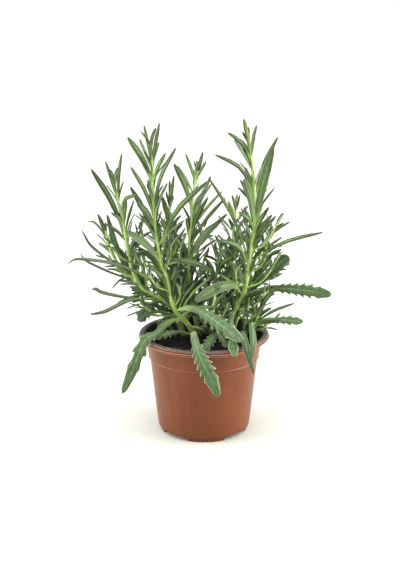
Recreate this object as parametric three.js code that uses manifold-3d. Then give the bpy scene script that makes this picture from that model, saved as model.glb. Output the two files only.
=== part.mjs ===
// Young lavender in a moulded nursery pot.
// Millimetres, +Z up, the origin on the table under the middle of the pot, the front towards -Y.

import * as THREE from 'three';
import { mergeVertices } from 'three/addons/utils/BufferGeometryUtils.js';
import Module from 'manifold-3d';

const wasm = await Module();
wasm.setup();

// Pot sizes
const POT_HEIGHT = 100;
const LIP_RADIUS = 65;
const LIP_INNER_RADIUS = 58.5;
const LIP_DEPTH = 4.8;
const FLARE_Z = 90.5;
const FLARE_RADIUS = 57.6;
const RIDGE_Z = 75.5;
const RIDGE_RADIUS = 54.9;
const BODY_TOP_RADIUS = 54;
const BODY_FOOT_RADIUS = 46.4;
const BODY_CHAMFER = 2.4;
const WALL = 1.2;
const FOOT_HEIGHT = 3;
const FOOT_RADIUS = 44;
const FOOT_WIDTH = 7;
const FOOT_ARC = THREE.MathUtils.degToRad(47);
const FOOT_TURN = THREE.MathUtils.degToRad(3);
const FOOT_COUNT = 4;
const MIDDLE_DISC_RADIUS = 22;
const DRAIN_ARCH_RADIUS = 2.2;
const DRAIN_SLOT_WIDTH = 7;
const DRAIN_SLOT_HEIGHT = 2.4;
const POT_SIDES = 32;
const FOOT_CURVE_SEGMENTS = 8;
const ARCH_SIDES = 12;
const ARCH_DROP = 0.2;

// Soil sizes
const SOIL_LEVEL = 87;
const SOIL_ROUGHNESS = 1.3;
const SOIL_GAP = 0.3;
const SOIL_RINGS = 4;
const SOIL_EDGE_PLAY = 0.2;
const SOIL_FOOT_CHAMFER = 2.6;
const STEM_FOOT_Z = 66;
const STEM_HOLE_PLAY = 0.9;
const STEM_HOLE_SIDES = 8;
const STEM_HOLE_TOP = 97;

// Stem and blade sizes
const STEM_SIDES = 5;
const STEM_TIP_RADIUS = 0.9;
const TAPER = 1.5;
const BLADE_THICKNESS = 0.7;
const BLADE_ROOT_WIDTH = 1.2;
const BLADE_ROOT_DEPTH = 0.7;
const BLADE_TIP_WIDTH = 0.9;
const LONG_BLADE = 45;
const LONG_BLADE_STATIONS = [0, 0.4, 0.82, 1];
const SHORT_BLADE_STATIONS = [0, 0.55, 1];
const ARCHED_BLADE_STATIONS = [0, 0.25, 0.4, 0.52, 0.62, 0.72, 0.86, 1];
const WIDEST = 0.58;
const WIDEST_CUT = 0.7;
const CUT_RISE = 0.9;
const TIP_BLUNTNESS = 2.4;
const TOOTH_VALLEY = 0.64;
const TOOTH_START = 0.38;
const TOOTH_END = 0.84;
const TOOTH_LEAN = 0.72;
const LAST_VALLEY = 0.82;
const LAST_STATION = 0.96;

// Room kept between the blades of one stem and everything on the others
const CLEAR_OTHERS = 2.2;
const CLEAR_OWN = 1.5;
const CLEAR_POT = 1.2;
const SAMPLE_ALONG = 1.5;
const SAMPLE_ACROSS = 2;
const OUTER_PART = 0.3;
const CELL = 4.5;
const SAME_POINT = 1e-4;
const RANDOM_SEED = 20260;
const RANDOM_FACTOR = 16807;
const RANDOM_MODULUS = 2 ** 31 - 1;
const SHORTEST_EDGE = 0.02;
const HEADING_STEP = 0.01;
const HALVINGS = 24;

const FRONT = new THREE.Vector3(0, -1, 0.3).normalize();

// A narrow leaf with a plain edge: height of its root on the stem, tip, width, bow, and how far it shows
// its upper face (1) or its underside (-1) to the front
const plain = (at, tip, wide, bow, show = 0.75) => ({ at, tip, wide, bow, show, roll: 0, via: [], teeth: 0 });

// A leaf that arches through way points from its root to its tip, with teeth along its edge or none
const arched = (at, tip, wide, teeth, show, via) => ({ at, tip, wide, bow: 0, show, roll: 0, via, teeth });

// Every leafy stem: the line of the stem, the leaves that show best, and the pairs that fill it up between
// two heights. The front of a stem that shows is kept bare of pairs, so many degrees to either side.
const SHOOTS = [
  {
    name: 'shoot_tall_left', radius: 2.8,
    stem: [[-8, 13, 66], [-8, 13, 78], [-9, 13, 90], [-16, 10, 104], [-29, 6, 121], [-35, 4, 147],
      [-43, 2, 175], [-47, 0, 205], [-49, -2, 245], [-50, -3, 286]],
    leaves: [
      plain(250, [-71, -16, 294], 6.5, 3), plain(266, [-57, 6, 303], 3, 1),
      plain(262, [-62, 14, 289], 3.2, 1, -0.7), plain(270, [-50, -14, 292], 3, 1),
      plain(262, [-42, 4, 306], 3.6, 1), plain(250, [-36, -16, 279], 4, 2),
      plain(230, [-27, 12, 281], 4.2, 4, -0.7), plain(254, [-60, -18, 277], 3.2, 2),
      plain(216, [-69, -12, 266], 4.2, 3), plain(186, [3, -24, 254], 5.6, 7),
      plain(188, [-72, 16, 243], 5.6, 4),
      plain(205, [-63, -20, 233], 6.5, 3), plain(172, [-75, -18, 206], 6.5, 3, -0.7),
      plain(117, [-7, -10, 154], 4.4, 3), plain(115, [8, -16, 161], 3.2, 4),
      plain(113, [14, -22, 131], 4.4, 6),
      arched(109, [-78, -45, 55], 14.5, 4, 0.9,
        [[-32, -3, 113.5], [-46, -23, 107], [-56.5, -35.5, 104], [-66, -41, 83]]),
      arched(95, [13.7, -72, 58.7], 16.5, 6, 0.95,
        [[-10.5, -34, 109], [-8, -61, 107], [-3, -71.5, 96], [5, -73, 80]]),
      arched(120, [36, -67, 111.8], 16, 5, 0.85, [[-13.7, -8, 127], [1, -25, 125.5], [17, -46, 120]]),
      arched(93, [-50.5, -43, 102.5], 9, 4, 0.6, [[-24, -10, 101], [-37, -29, 103.5]]),
      arched(138, [-134, 2, 168], 3.6, 0, 0.75,
        [[-53, -4, 155], [-73, -6, 166], [-93, -5, 172], [-111, -2, 174], [-126, 0, 174]]),
    ],
    fill: { from: 112, to: 282, step: 15, length: 46, wide: 4.8, open: 34, turn: 60, end: 0.42, bare: 48 },
  },
  {
    name: 'shoot_left', radius: 2.3,
    stem: [[-20, 24, 66], [-20, 24, 78], [-21, 24, 90], [-27, 20, 110], [-38, 14, 126], [-49, 12, 134],
      [-60, 10, 141], [-70, 8, 158], [-75, 6, 185], [-79, 4, 213], [-83, 3, 230], [-86, 2, 250]],
    leaves: [
      plain(200, [-107, -6, 263], 5.7, 3), plain(234, [-95, 12, 268], 3.2, 1),
      plain(236, [-89, -10, 259], 3.6, 1), plain(228, [-79, 8, 276], 3.4, 2),
      plain(214, [-63, -10, 239], 3.8, 9), plain(178, [-66, -10, 195], 4.2, 2),
      plain(163, [-63, 18, 200], 3.2, 2),
      arched(129, [-110, -4, 144], 4, 0, 0.75, [[-78, 2, 135], [-99, -3, 141], [-106, -4, 145]]),
      arched(132, [-112, -14, 122], 4.4, 0, 0.75, [[-69, -4, 134.5], [-81, -8, 131.5], [-98, -12, 124]]),
      plain(131, [-71, -4, 131], 3.4, 3),
      arched(131, [-66.5, 14, 106], 14, 4, 0.9, [[-54, 14, 121]]),
    ],
    fill: { from: 104, to: 246, step: 15, length: 44, wide: 4.6, open: 36, turn: 20, end: 0.42, bare: 45 },
  },
  {
    name: 'shoot_far_left', radius: 1.6,
    stem: [[-32, 32, 66], [-32, 32, 78], [-33, 32, 90], [-42, 31, 110], [-57, 29, 132], [-74, 27, 151],
      [-88, 25, 166], [-95, 24, 182], [-98, 24, 197]],
    leaves: [
      plain(188, [-105, 24, 214], 4.2, 1), plain(152, [-95, 12, 216], 5.5, 3, -0.75),
      arched(174, [-116, 34, 204], 2.4, 0, 0.75, [[-100, 28, 193], [-107, 31, 202], [-112, 33, 205]]),
      arched(154, [-120, 14, 200], 2.8, 0, 0.75, [[-93, 20, 167], [-106, 17, 178], [-114, 15, 187]]),
      arched(128, [-122, 10, 178], 2.6, 0, 0.75,
        [[-71, 20, 146], [-94, 16, 157], [-107, 13, 164], [-117, 11, 170]]),
      plain(150, [-91, 44, 177], 4.2, 2),
      plain(143, [-88, 46, 160], 3.4, 2),
    ],
    fill: { from: 108, to: 194, step: 15.5, length: 31, wide: 4, open: 44, turn: 70, end: 0.45, bare: 40 },
  },
  {
    name: 'shoot_middle', radius: 2.1,
    stem: [[-6, 32, 66], [-6, 32, 78], [-6, 32, 90], [-10, 29, 112], [-14, 26, 137], [-15, 24, 168],
      [-14, 23, 190], [-12, 22, 213], [-11, 22, 232], [-6, 20, 258]],
    leaves: [
      plain(220, [-29, 10, 266], 6, 3), plain(235, [-26, 32, 261], 2.8, 1), plain(246, [-18, 30, 273], 3, 1),
      plain(240, [-1, 22, 276], 3.8, 1), plain(249, [-7, 36, 266], 3, 1), plain(249, [2, 10, 268], 3, 1),
      plain(195, [7, 32, 251], 4.6, 3, -0.75), plain(190, [4, 8, 234], 4.2, 3),
      plain(214, [9, 38, 243], 3, 2), plain(182, [21, 14, 232], 3.8, 3),
      plain(198, [18, 36, 235], 3, 2), plain(174, [17, 8, 212], 5.2, 3, -0.75),
      plain(168, [23, 22, 215], 5.2, 3, -0.75),
    ],
    fill: { from: 106, to: 254, step: 15, length: 44, wide: 4.6, open: 34, turn: 10, end: 0.42, bare: 45 },
  },
  {
    name: 'shoot_tall_right', radius: 2.5,
    stem: [[21, 14, 66], [21, 14, 78], [22, 14, 90], [30, 12, 118], [39, 10, 135], [43, 8, 155],
      [45, 6, 175], [49, 4, 206], [49, 2, 225], [47, 0, 255], [45, -1, 272], [42, -2, 292]],
    leaves: [
      plain(277, [37, -6, 310], 4.5, 1), plain(279, [50, 8, 303], 3, 1), plain(271, [22, -14, 298], 4, 4),
      plain(261, [29, 14, 289], 4.2, 2, -0.75), plain(234, [10, -18, 278], 4.2, 10),
      plain(205, [64, -20, 286], 8.6, 3), plain(235, [71, 16, 291], 4.4, 4),
      plain(212, [37, -22, 256], 7.6, 3),
      plain(234, [40, 14, 262], 4.2, 1), plain(221, [62, 14, 247], 3.8, 2), plain(203, [33, -8, 222], 4.2, 3),
      plain(199, [39, 20, 222], 3.4, 2), plain(195, [63, 8, 224], 4.2, 2), plain(197, [57, -18, 224], 3.8, 2),
      plain(171, [70, 6, 216], 4.2, 4), plain(169, [115, -6, 202], 4, 6), plain(171, [4, 2, 254], 3.6, 5),
      plain(167, [14, -16, 196], 5.2, 8), plain(133, [60, -8, 146], 3.6, 2),
      plain(115, [28, -8, 138], 3.6, 2),
      plain(147, [-9, -18, 139.5], 10.5, 6, 0.9),
      arched(117, [28.5, -75, 98], 10.5, 2, 0.95, [[27, -12, 122], [26, -38, 117], [27, -62, 106]]),
    ],
    fill: { from: 108, to: 288, step: 15, length: 46, wide: 4.8, open: 34, turn: 55, end: 0.42, bare: 48 },
  },
  {
    name: 'shoot_right_back', radius: 1.7,
    stem: [[30, 34, 66], [30, 34, 78], [31, 34, 90], [38, 33, 115], [48, 31, 136], [55, 29, 150],
      [58, 28, 164], [62, 27, 178], [65, 26, 192]],
    leaves: [
      plain(176, [79, 22, 206], 3.6, 5), plain(180, [68, 36, 201], 3.4, 1), plain(160, [77, 16, 180], 3.8, 3),
      arched(134, [84, 14, 174], 17, 4, 0.95, [[67, 21, 155]]),
      arched(132, [126, 0, 138], 15.5, 6, 0.95, [[70, 20, 139], [98, 10, 140]]),
    ],
    fill: { from: 106, to: 188, step: 15, length: 38, wide: 4.4, open: 44, turn: 25, end: 0.45, bare: 0 },
  },
  {
    name: 'shoot_right_front', radius: 1.6,
    stem: [[37, 2, 66], [37, 2, 78], [38, 2, 90], [44, 1, 100], [51, -1, 110], [55, -3, 121]],
    leaves: [
      arched(107, [98, -6, 112], 10.5, 4, 0.85, [[74, -4, 113]]), plain(117, [71, -8, 147], 4.4, 3),
      plain(110, [90, 4, 128], 3.2, 3),
      arched(109, [43.5, -66, 93], 6.5, 0, 0.7, [[46.5, -22, 114.5], [46.5, -44, 112.5], [46, -60, 106.5]]),
      arched(99, [46.5, -70, 79], 7, 0, 0.6, [[38, -20, 106], [38, -44, 107.5], [41, -66, 98]]),
    ],
    fill: { from: 97, to: 118, step: 10, length: 30, wide: 4.4, open: 52, turn: 80, end: 0.7, bare: 0 },
  },
  {
    name: 'shoot_inner_right', radius: 1.5,
    stem: [[8, 25, 66], [8, 25, 78], [8, 25, 90], [10, 22, 115], [12, 20, 140], [13, 18, 160], [17, 16, 182]],
    leaves: [plain(155, [-32, 3, 173], 6.5, 4), plain(157, [29, 6, 175], 4.4, 3)],
    fill: { from: 98, to: 178, step: 13, length: 38, wide: 5, open: 52, turn: 40, end: 0.5, bare: 0 },
  },
  {
    name: 'shoot_inner_left', radius: 1.5,
    stem: [[-26, 40, 66], [-26, 40, 78], [-26, 40, 90], [-30, 40, 120], [-33, 38, 160], [-35, 36, 195],
      [-34, 35, 222]],
    leaves: [
      plain(214, [-34, 34, 246], 3.6, 1), plain(212, [-30, 38, 250], 3.2, 1),
      plain(192, [-42, 28, 232], 5, 3),
    ],
    fill: { from: 104, to: 218, step: 15.5, length: 38, wide: 4.6, open: 40, turn: 35, end: 0.45, bare: 0 },
  },
  {
    name: 'shoot_front', radius: 1.5,
    stem: [[8, -6, 66], [8, -6, 78], [8, -6, 90], [8, -9, 104], [9, -12, 122], [11, -14, 142]],
    leaves: [],
    fill: { from: 97, to: 138, step: 10, length: 34, wide: 5.4, open: 56, turn: 15, end: 0.6, bare: 0 },
  },
  {
    name: 'shoot_back_left', radius: 1.7,
    stem: [[-16, 46, 66], [-16, 46, 78], [-16, 46, 90], [-22, 50, 115], [-30, 55, 145], [-36, 58, 178],
      [-38, 59, 206]],
    leaves: [],
    fill: { from: 102, to: 202, step: 14, length: 44, wide: 5, open: 46, turn: 0, end: 0.45, bare: 0 },
  },
  {
    name: 'shoot_back_right', radius: 1.7,
    stem: [[16, 44, 66], [16, 44, 78], [16, 44, 90], [20, 49, 118], [26, 54, 150], [31, 57, 185],
      [33, 58, 214]],
    leaves: [],
    fill: { from: 102, to: 210, step: 14, length: 44, wide: 5, open: 46, turn: 45, end: 0.45, bare: 0 },
  },
];

// Materials
const paint = (color, roughness) => new THREE.MeshStandardMaterial({ color, roughness, metalness: 0 });
const POT_PLASTIC = paint('#a0603f', 0.45);
const SOIL_PEAT = paint('#2b211b', 0.95);
const LEAF_GREEN = paint('#6f9155', 0.6);

// Seeded draws
let randomState = RANDOM_SEED;
function draw(low, high) {
  randomState = (randomState * RANDOM_FACTOR) % RANDOM_MODULUS;
  return low + (high - low) * randomState / RANDOM_MODULUS;
}

// Meshes and solids
function solidOf(geometry) {
  const bare = geometry.clone();
  bare.deleteAttribute('normal');
  bare.deleteAttribute('uv');
  const merged = mergeVertices(bare, SAME_POINT);
  const vertProperties = Float32Array.from(merged.attributes.position.array);
  const triVerts = Uint32Array.from(merged.index.array);
  return new wasm.Manifold(new wasm.Mesh({ numProp: 3, vertProperties, triVerts }));
}

// The outer skin alone, which fills any hollow that fusing has sealed
function outerBody(solid) {
  const skins = solid.decompose();
  return skins.reduce((largest, skin) => (skin.volume() > largest.volume() ? skin : largest));
}

function meshOf(solid, name, material) {
  const mesh = outerBody(solid.simplify(SHORTEST_EDGE)).getMesh();
  const geometry = new THREE.BufferGeometry();
  geometry.setAttribute('position', new THREE.BufferAttribute(Float32Array.from(mesh.vertProperties), 3));
  geometry.setIndex(new THREE.BufferAttribute(Uint32Array.from(mesh.triVerts), 1));
  geometry.computeVertexNormals();
  const node = new THREE.Mesh(geometry, material);
  node.name = name;
  return node;
}

// A turned solid from its half section, which starts and ends on the axis
function turned(section, sides) {
  const points = section.map(([radius, z]) => new THREE.Vector2(radius, z));
  return solidOf(new THREE.LatheGeometry(points, sides).rotateX(Math.PI / 2));
}

// A closed skin over rings of points, with flat ends and every face split the same way
function loft(rings) {
  const count = rings[0].length;
  const position = rings.flat().flatMap((p) => [p.x, p.y, p.z]);
  const index = [];
  for (let r = 0; r + 1 < rings.length; r += 1) {
    for (let k = 0; k < count; k += 1) {
      const a = r * count + k;
      const b = r * count + (k + 1) % count;
      const sameWay = k < count / 2;
      const first = sameWay ? [a, b, b + count] : [a, b, a + count];
      const second = sameWay ? [a, b + count, a + count] : [b, b + count, a + count];
      index.push(...first, ...second);
    }
  }
  const last = (rings.length - 1) * count;
  for (let k = 1; k + 1 < count; k += 1) {
    index.push(0, k + 1, k, last, last + k, last + k + 1);
  }
  const geometry = new THREE.BufferGeometry();
  geometry.setAttribute('position', new THREE.Float32BufferAttribute(position, 3));
  geometry.setIndex(index);
  return geometry;
}

// A smooth line through its points
function along(points, t) {
  const last = points.length - 1;
  const place = Math.min(Math.max(t, 0), 1) * last;
  const i = Math.min(Math.floor(place), last - 1);
  const u = place - i;
  const p0 = points[Math.max(i - 1, 0)];
  const p1 = points[i];
  const p2 = points[i + 1];
  const p3 = points[Math.min(i + 2, last)];
  const mix = (a, b, c, d) => 0.5 * (2 * b + (c - a) * u + (2 * a - 5 * b + 4 * c - d) * u * u
    + (3 * b - a - 3 * c + d) * u * u * u);
  const blend = (k) => mix(p0.getComponent(k), p1.getComponent(k), p2.getComponent(k), p3.getComponent(k));
  return new THREE.Vector3(blend(0), blend(1), blend(2));
}

function heading(points, t) {
  return along(points, t + HEADING_STEP).sub(along(points, t - HEADING_STEP)).normalize();
}

function lengthOf(points) {
  let total = 0;
  for (let i = 0; i + 1 < points.length; i += 1) total += points[i].distanceTo(points[i + 1]);
  return total;
}

// Where a stem reaches a height
function stemAt(stem, z) {
  let low = 0;
  let high = 1;
  for (let i = 0; i < HALVINGS; i += 1) {
    const middle = (low + high) / 2;
    if (along(stem, middle).z < z) low = middle;
    else high = middle;
  }
  return (low + high) / 2;
}

// Share of the full width that a blade has along its length: a cut blade is widest nearer its tip
const widestOf = (leaf) => (leaf.teeth ? WIDEST_CUT : WIDEST);

function bladeShape(leaf, t) {
  const widest = widestOf(leaf);
  const rise = t / widest;
  if (t < widest) return leaf.teeth ? rise ** CUT_RISE : Math.sin(Math.PI / 2 * rise);
  return Math.sqrt(Math.max(1 - ((t - widest) / (1 - widest)) ** TIP_BLUNTNESS, 0));
}

function bladeWidth(leaf, t) {
  const shape = bladeShape(leaf, t);
  const rounded = BLADE_ROOT_WIDTH + (leaf.wide - BLADE_ROOT_WIDTH) * shape;
  return t > widestOf(leaf) ? Math.max(leaf.wide * shape, BLADE_TIP_WIDTH) : rounded;
}

// Across and face directions of a blade at one place
function bladeFrame(leaf, t) {
  const forward = heading(leaf.path, t);
  const across = leaf.across.clone().addScaledVector(forward, -forward.dot(leaf.across)).normalize();
  return { across, face: forward.clone().cross(across) };
}

// Path of a blade from the middle of its stem to its tip
function layPath(leaf, middleOfStem, sunk, axis, tip) {
  const out = tip.clone().sub(middleOfStem);
  out.addScaledVector(axis, -axis.dot(out)).normalize();
  const root = middleOfStem.clone().addScaledVector(out, sunk);
  const chord = tip.clone().sub(root);
  const rise = axis.clone().addScaledVector(chord, -axis.dot(chord) / chord.lengthSq()).normalize();
  const middle = root.clone().addScaledVector(chord, 0.5).addScaledVector(rise, leaf.bow);
  const shift = tip.clone().sub(new THREE.Vector3(...leaf.tip));
  const spans = leaf.via.length + 1;
  const via = leaf.via.map((p, i) => new THREE.Vector3(...p).addScaledVector(shift, (i + 1) / spans));
  const path = leaf.via.length ? [root, ...via, tip] : [root, middle, tip];
  const natural = axis.clone().cross(chord).normalize();
  natural.applyAxisAngle(chord.clone().normalize(), THREE.MathUtils.degToRad(leaf.roll));
  const toFront = FRONT.clone().cross(chord).normalize();
  const across = natural.multiplyScalar(1 - Math.abs(leaf.show)).addScaledVector(toFront, leaf.show);
  return { ...leaf, path, across: across.normalize() };
}

// Points spread over a blade, to measure its room by
function bladeSamples(leaf) {
  const rows = Math.ceil(lengthOf(leaf.path) / SAMPLE_ALONG);
  const samples = [];
  for (let r = 0; r <= rows; r += 1) {
    const t = r / rows;
    const middle = along(leaf.path, t);
    const wide = bladeWidth(leaf, t);
    const across = bladeFrame(leaf, t).across;
    const columns = Math.ceil(wide / SAMPLE_ACROSS);
    for (let c = 0; c <= columns; c += 1) {
      const point = middle.clone().addScaledVector(across, wide * (c / columns - 0.5));
      samples.push({ point, outer: t > OUTER_PART, radius: 0 });
    }
  }
  return samples;
}

// Taken space, kept in cubic cells
const taken = new Map();
const cellKey = (x, y, z) => `${x},${y},${z}`;
const cellOf = (value) => Math.floor(value / CELL);

function take(samples, shoot) {
  for (const sample of samples) {
    const key = cellKey(cellOf(sample.point.x), cellOf(sample.point.y), cellOf(sample.point.z));
    if (!taken.has(key)) taken.set(key, []);
    taken.get(key).push({ ...sample, shoot });
  }
}

function tooClose(sample, other, shoot) {
  const gap = sample.point.distanceTo(other.point);
  if (other.shoot !== shoot) return gap < CLEAR_OTHERS + other.radius;
  return other.radius === 0 && sample.outer && other.outer && gap < CLEAR_OWN;
}

// Inner radius of the pot at a height above the soil
function potInnerRadius(z) {
  const low = z < FLARE_Z;
  const share = low ? (z - RIDGE_Z) / (FLARE_Z - RIDGE_Z) : (z - FLARE_Z) / (POT_HEIGHT - FLARE_Z);
  const [from, to] = low ? [RIDGE_RADIUS, FLARE_RADIUS] : [FLARE_RADIUS, LIP_INNER_RADIUS];
  return from + (to - from) * share - WALL;
}

function meetsPot(point) {
  const radius = Math.hypot(point.x, point.y);
  const overLip = point.z > POT_HEIGHT + CLEAR_POT;
  if (overLip || radius > LIP_RADIUS + CLEAR_POT) return false;
  return point.z < SOIL_LEVEL + SOIL_ROUGHNESS + CLEAR_POT || radius > potInnerRadius(point.z) - CLEAR_POT;
}

function hasRoom(samples, shoot) {
  for (const sample of samples) {
    if (sample.outer && meetsPot(sample.point)) return false;
    const [cx, cy, cz] = [sample.point.x, sample.point.y, sample.point.z].map(cellOf);
    for (let i = -1; i <= 1; i += 1) {
      for (let j = -1; j <= 1; j += 1) {
        for (let k = -1; k <= 1; k += 1) {
          const near = taken.get(cellKey(cx + i, cy + j, cz + k)) ?? [];
          if (near.some((other) => tooClose(sample, other, shoot))) return false;
        }
      }
    }
  }
  return true;
}

// First of the offered tips that leaves every other stem clear
function placeLeaf(shoot, leaf, root, axis, tips) {
  const sunk = (1 - BLADE_ROOT_DEPTH) * stemRadius(shoot, stemAt(shoot.line, root.z));
  for (const tip of tips) {
    const laid = layPath(leaf, root, sunk, axis, tip);
    const samples = bladeSamples(laid);
    if (hasRoom(samples, shoot)) {
      take(samples, shoot);
      shoot.placed.push(laid);
      return;
    }
  }
}

// The leaves that show best keep their outline from the front and give way in depth
const DEPTH_SHIFTS = [0, -5, 5, -10, 10, -15, 15, -21, 21, -28, 28];
function placeShown(shoot, leaf) {
  const t = stemAt(shoot.line, leaf.at);
  const [x, y, z] = leaf.tip;
  const tips = DEPTH_SHIFTS.map((shift) => new THREE.Vector3(x, y + shift, z));
  placeLeaf(shoot, leaf, along(shoot.line, t), heading(shoot.line, t), tips);
}

// Leaves in crossed pairs, each pair turned a quarter from the one below, that give way sideways
const TURN_SHIFTS = [0, 14, -14, 28, -28, 42, -42];
const OPEN_SHIFTS = [0, -10, 12];
const SIZES = [0.85, 1.15];
const WIDTHS = [0.85, 1.15];
const TURNS = [-14, 14];
const TILTS = [-6, 6];
const BOWS = [0.03, 0.13];
const ROLLS = [-50, 50];
const CLOSING = 0.45;
const SHRINKING = 1.5;
const WIDTH_KEPT = 0.55;

// Whether a leaf that leaves its stem this way would stand in front of it
function hidesStem(shoot, out) {
  const { bare } = shoot.fill;
  return bare > 0 && -out.y > Math.cos(THREE.MathUtils.degToRad(bare));
}

function placePairs(shoot) {
  const { from, to, step, length, wide, open, turn, end } = shoot.fill;
  const pairs = Math.round((to - from) / step);
  for (let p = 0; p <= pairs; p += 1) {
    const share = p / pairs;
    const t = stemAt(shoot.line, from + (to - from) * share);
    const root = along(shoot.line, t);
    const axis = heading(shoot.line, t);
    const side = new THREE.Vector3(1, 0, 0).addScaledVector(axis, -axis.x).normalize();
    for (let half = 0; half < 2; half += 1) {
      const size = draw(...SIZES) * (1 - (1 - end) * share ** SHRINKING);
      const around = turn + 90 * p + 180 * half + draw(...TURNS);
      const spread = open * (1 - CLOSING * share) + draw(...TILTS);
      const leaf = {
        wide: wide * (WIDTH_KEPT + (1 - WIDTH_KEPT) * size) * draw(...WIDTHS),
        bow: length * size * draw(...BOWS),
        roll: draw(...ROLLS),
      };
      const tips = [];
      for (const more of OPEN_SHIFTS) {
        for (const swing of TURN_SHIFTS) {
          const out = side.clone().applyAxisAngle(axis, THREE.MathUtils.degToRad(around + swing));
          const tilt = THREE.MathUtils.degToRad(spread + more);
          const tip = root.clone().addScaledVector(axis, length * size * Math.cos(tilt))
            .addScaledVector(out, length * size * Math.sin(tilt));
          if (!hidesStem(shoot, out)) tips.push(tip);
        }
      }
      if (tips.length === 0) continue;
      placeLeaf(shoot, { ...leaf, tip: tips[0].toArray(), show: 0, via: [], teeth: 0 }, root, axis, tips);
    }
  }
}

// Blades with their cut edges, and stems
function stationsOf(leaf) {
  const straight = lengthOf(leaf.path) > LONG_BLADE ? LONG_BLADE_STATIONS : SHORT_BLADE_STATIONS;
  const plainStations = leaf.via.length ? ARCHED_BLADE_STATIONS : straight;
  if (!leaf.teeth) return plainStations.map((t) => ({ t, share: 1 }));
  const pitch = (TOOTH_END - TOOTH_START) / leaf.teeth;
  const stations = [{ t: 0, share: 1 }];
  for (let k = 0; k < leaf.teeth; k += 1) {
    const start = TOOTH_START + pitch * k;
    stations.push({ t: start, share: TOOTH_VALLEY }, { t: start + TOOTH_LEAN * pitch, share: 1 });
  }
  stations.push({ t: TOOTH_END, share: LAST_VALLEY }, { t: LAST_STATION, share: 1 }, { t: 1, share: 1 });
  return stations;
}

function bladeSolid(leaf) {
  const rings = stationsOf(leaf).map(({ t, share }) => {
    const { across, face } = bladeFrame(leaf, t);
    const half = bladeWidth(leaf, t) * share / 2;
    const corners = [[half, 1], [-half, 1], [-half, -1], [half, -1]];
    return corners.map(([x, up]) => along(leaf.path, t).addScaledVector(across, x)
      .addScaledVector(face, up * BLADE_THICKNESS / 2));
  });
  return solidOf(loft(rings));
}

function stemRadius(shoot, t) {
  return shoot.radius + (STEM_TIP_RADIUS - shoot.radius) * t ** TAPER;
}

function stemSolid(shoot) {
  const steps = shoot.line.length - 1;
  const rings = [];
  for (let s = 0; s <= steps; s += 1) {
    const t = s / steps;
    const forward = heading(shoot.line, t);
    const side = new THREE.Vector3(1, 0, 0).addScaledVector(forward, -forward.x).normalize();
    const ring = [];
    for (let k = 0; k < STEM_SIDES; k += 1) {
      const arm = side.clone().applyAxisAngle(forward, 2 * Math.PI * k / STEM_SIDES);
      ring.push(along(shoot.line, t).addScaledVector(arm, stemRadius(shoot, t)));
    }
    rings.push(ring);
  }
  return solidOf(loft(rings));
}

function growShoots() {
  for (const shoot of SHOOTS) {
    shoot.line = shoot.stem.map((p) => new THREE.Vector3(...p));
    shoot.placed = [];
    const steps = Math.ceil(lengthOf(shoot.line) / SAMPLE_ALONG);
    const samples = [];
    for (let s = 0; s <= steps; s += 1) {
      const t = s / steps;
      samples.push({ point: along(shoot.line, t), outer: true, radius: stemRadius(shoot, t) });
    }
    take(samples, shoot);
  }
  for (const shoot of SHOOTS) shoot.leaves.forEach((leaf) => placeShown(shoot, leaf));
  for (const shoot of SHOOTS) placePairs(shoot);
  return SHOOTS.map((shoot) => {
    const blades = shoot.placed.map(bladeSolid);
    return meshOf(wasm.Manifold.union([stemSolid(shoot), ...blades]), shoot.name, LEAF_GREEN);
  });
}

// Pot: one moulded shell with feet, drain arches and drain slots round its foot
function footSector(turn) {
  const shape = new THREE.Shape();
  shape.absarc(0, 0, FOOT_RADIUS, turn - FOOT_ARC / 2, turn + FOOT_ARC / 2, false);
  shape.absarc(0, 0, FOOT_RADIUS - FOOT_WIDTH, turn + FOOT_ARC / 2, turn - FOOT_ARC / 2, true);
  const depth = FOOT_HEIGHT + WALL / 2;
  return new THREE.ExtrudeGeometry(shape, { depth, bevelEnabled: false, curveSegments: FOOT_CURVE_SEGMENTS });
}

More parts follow.
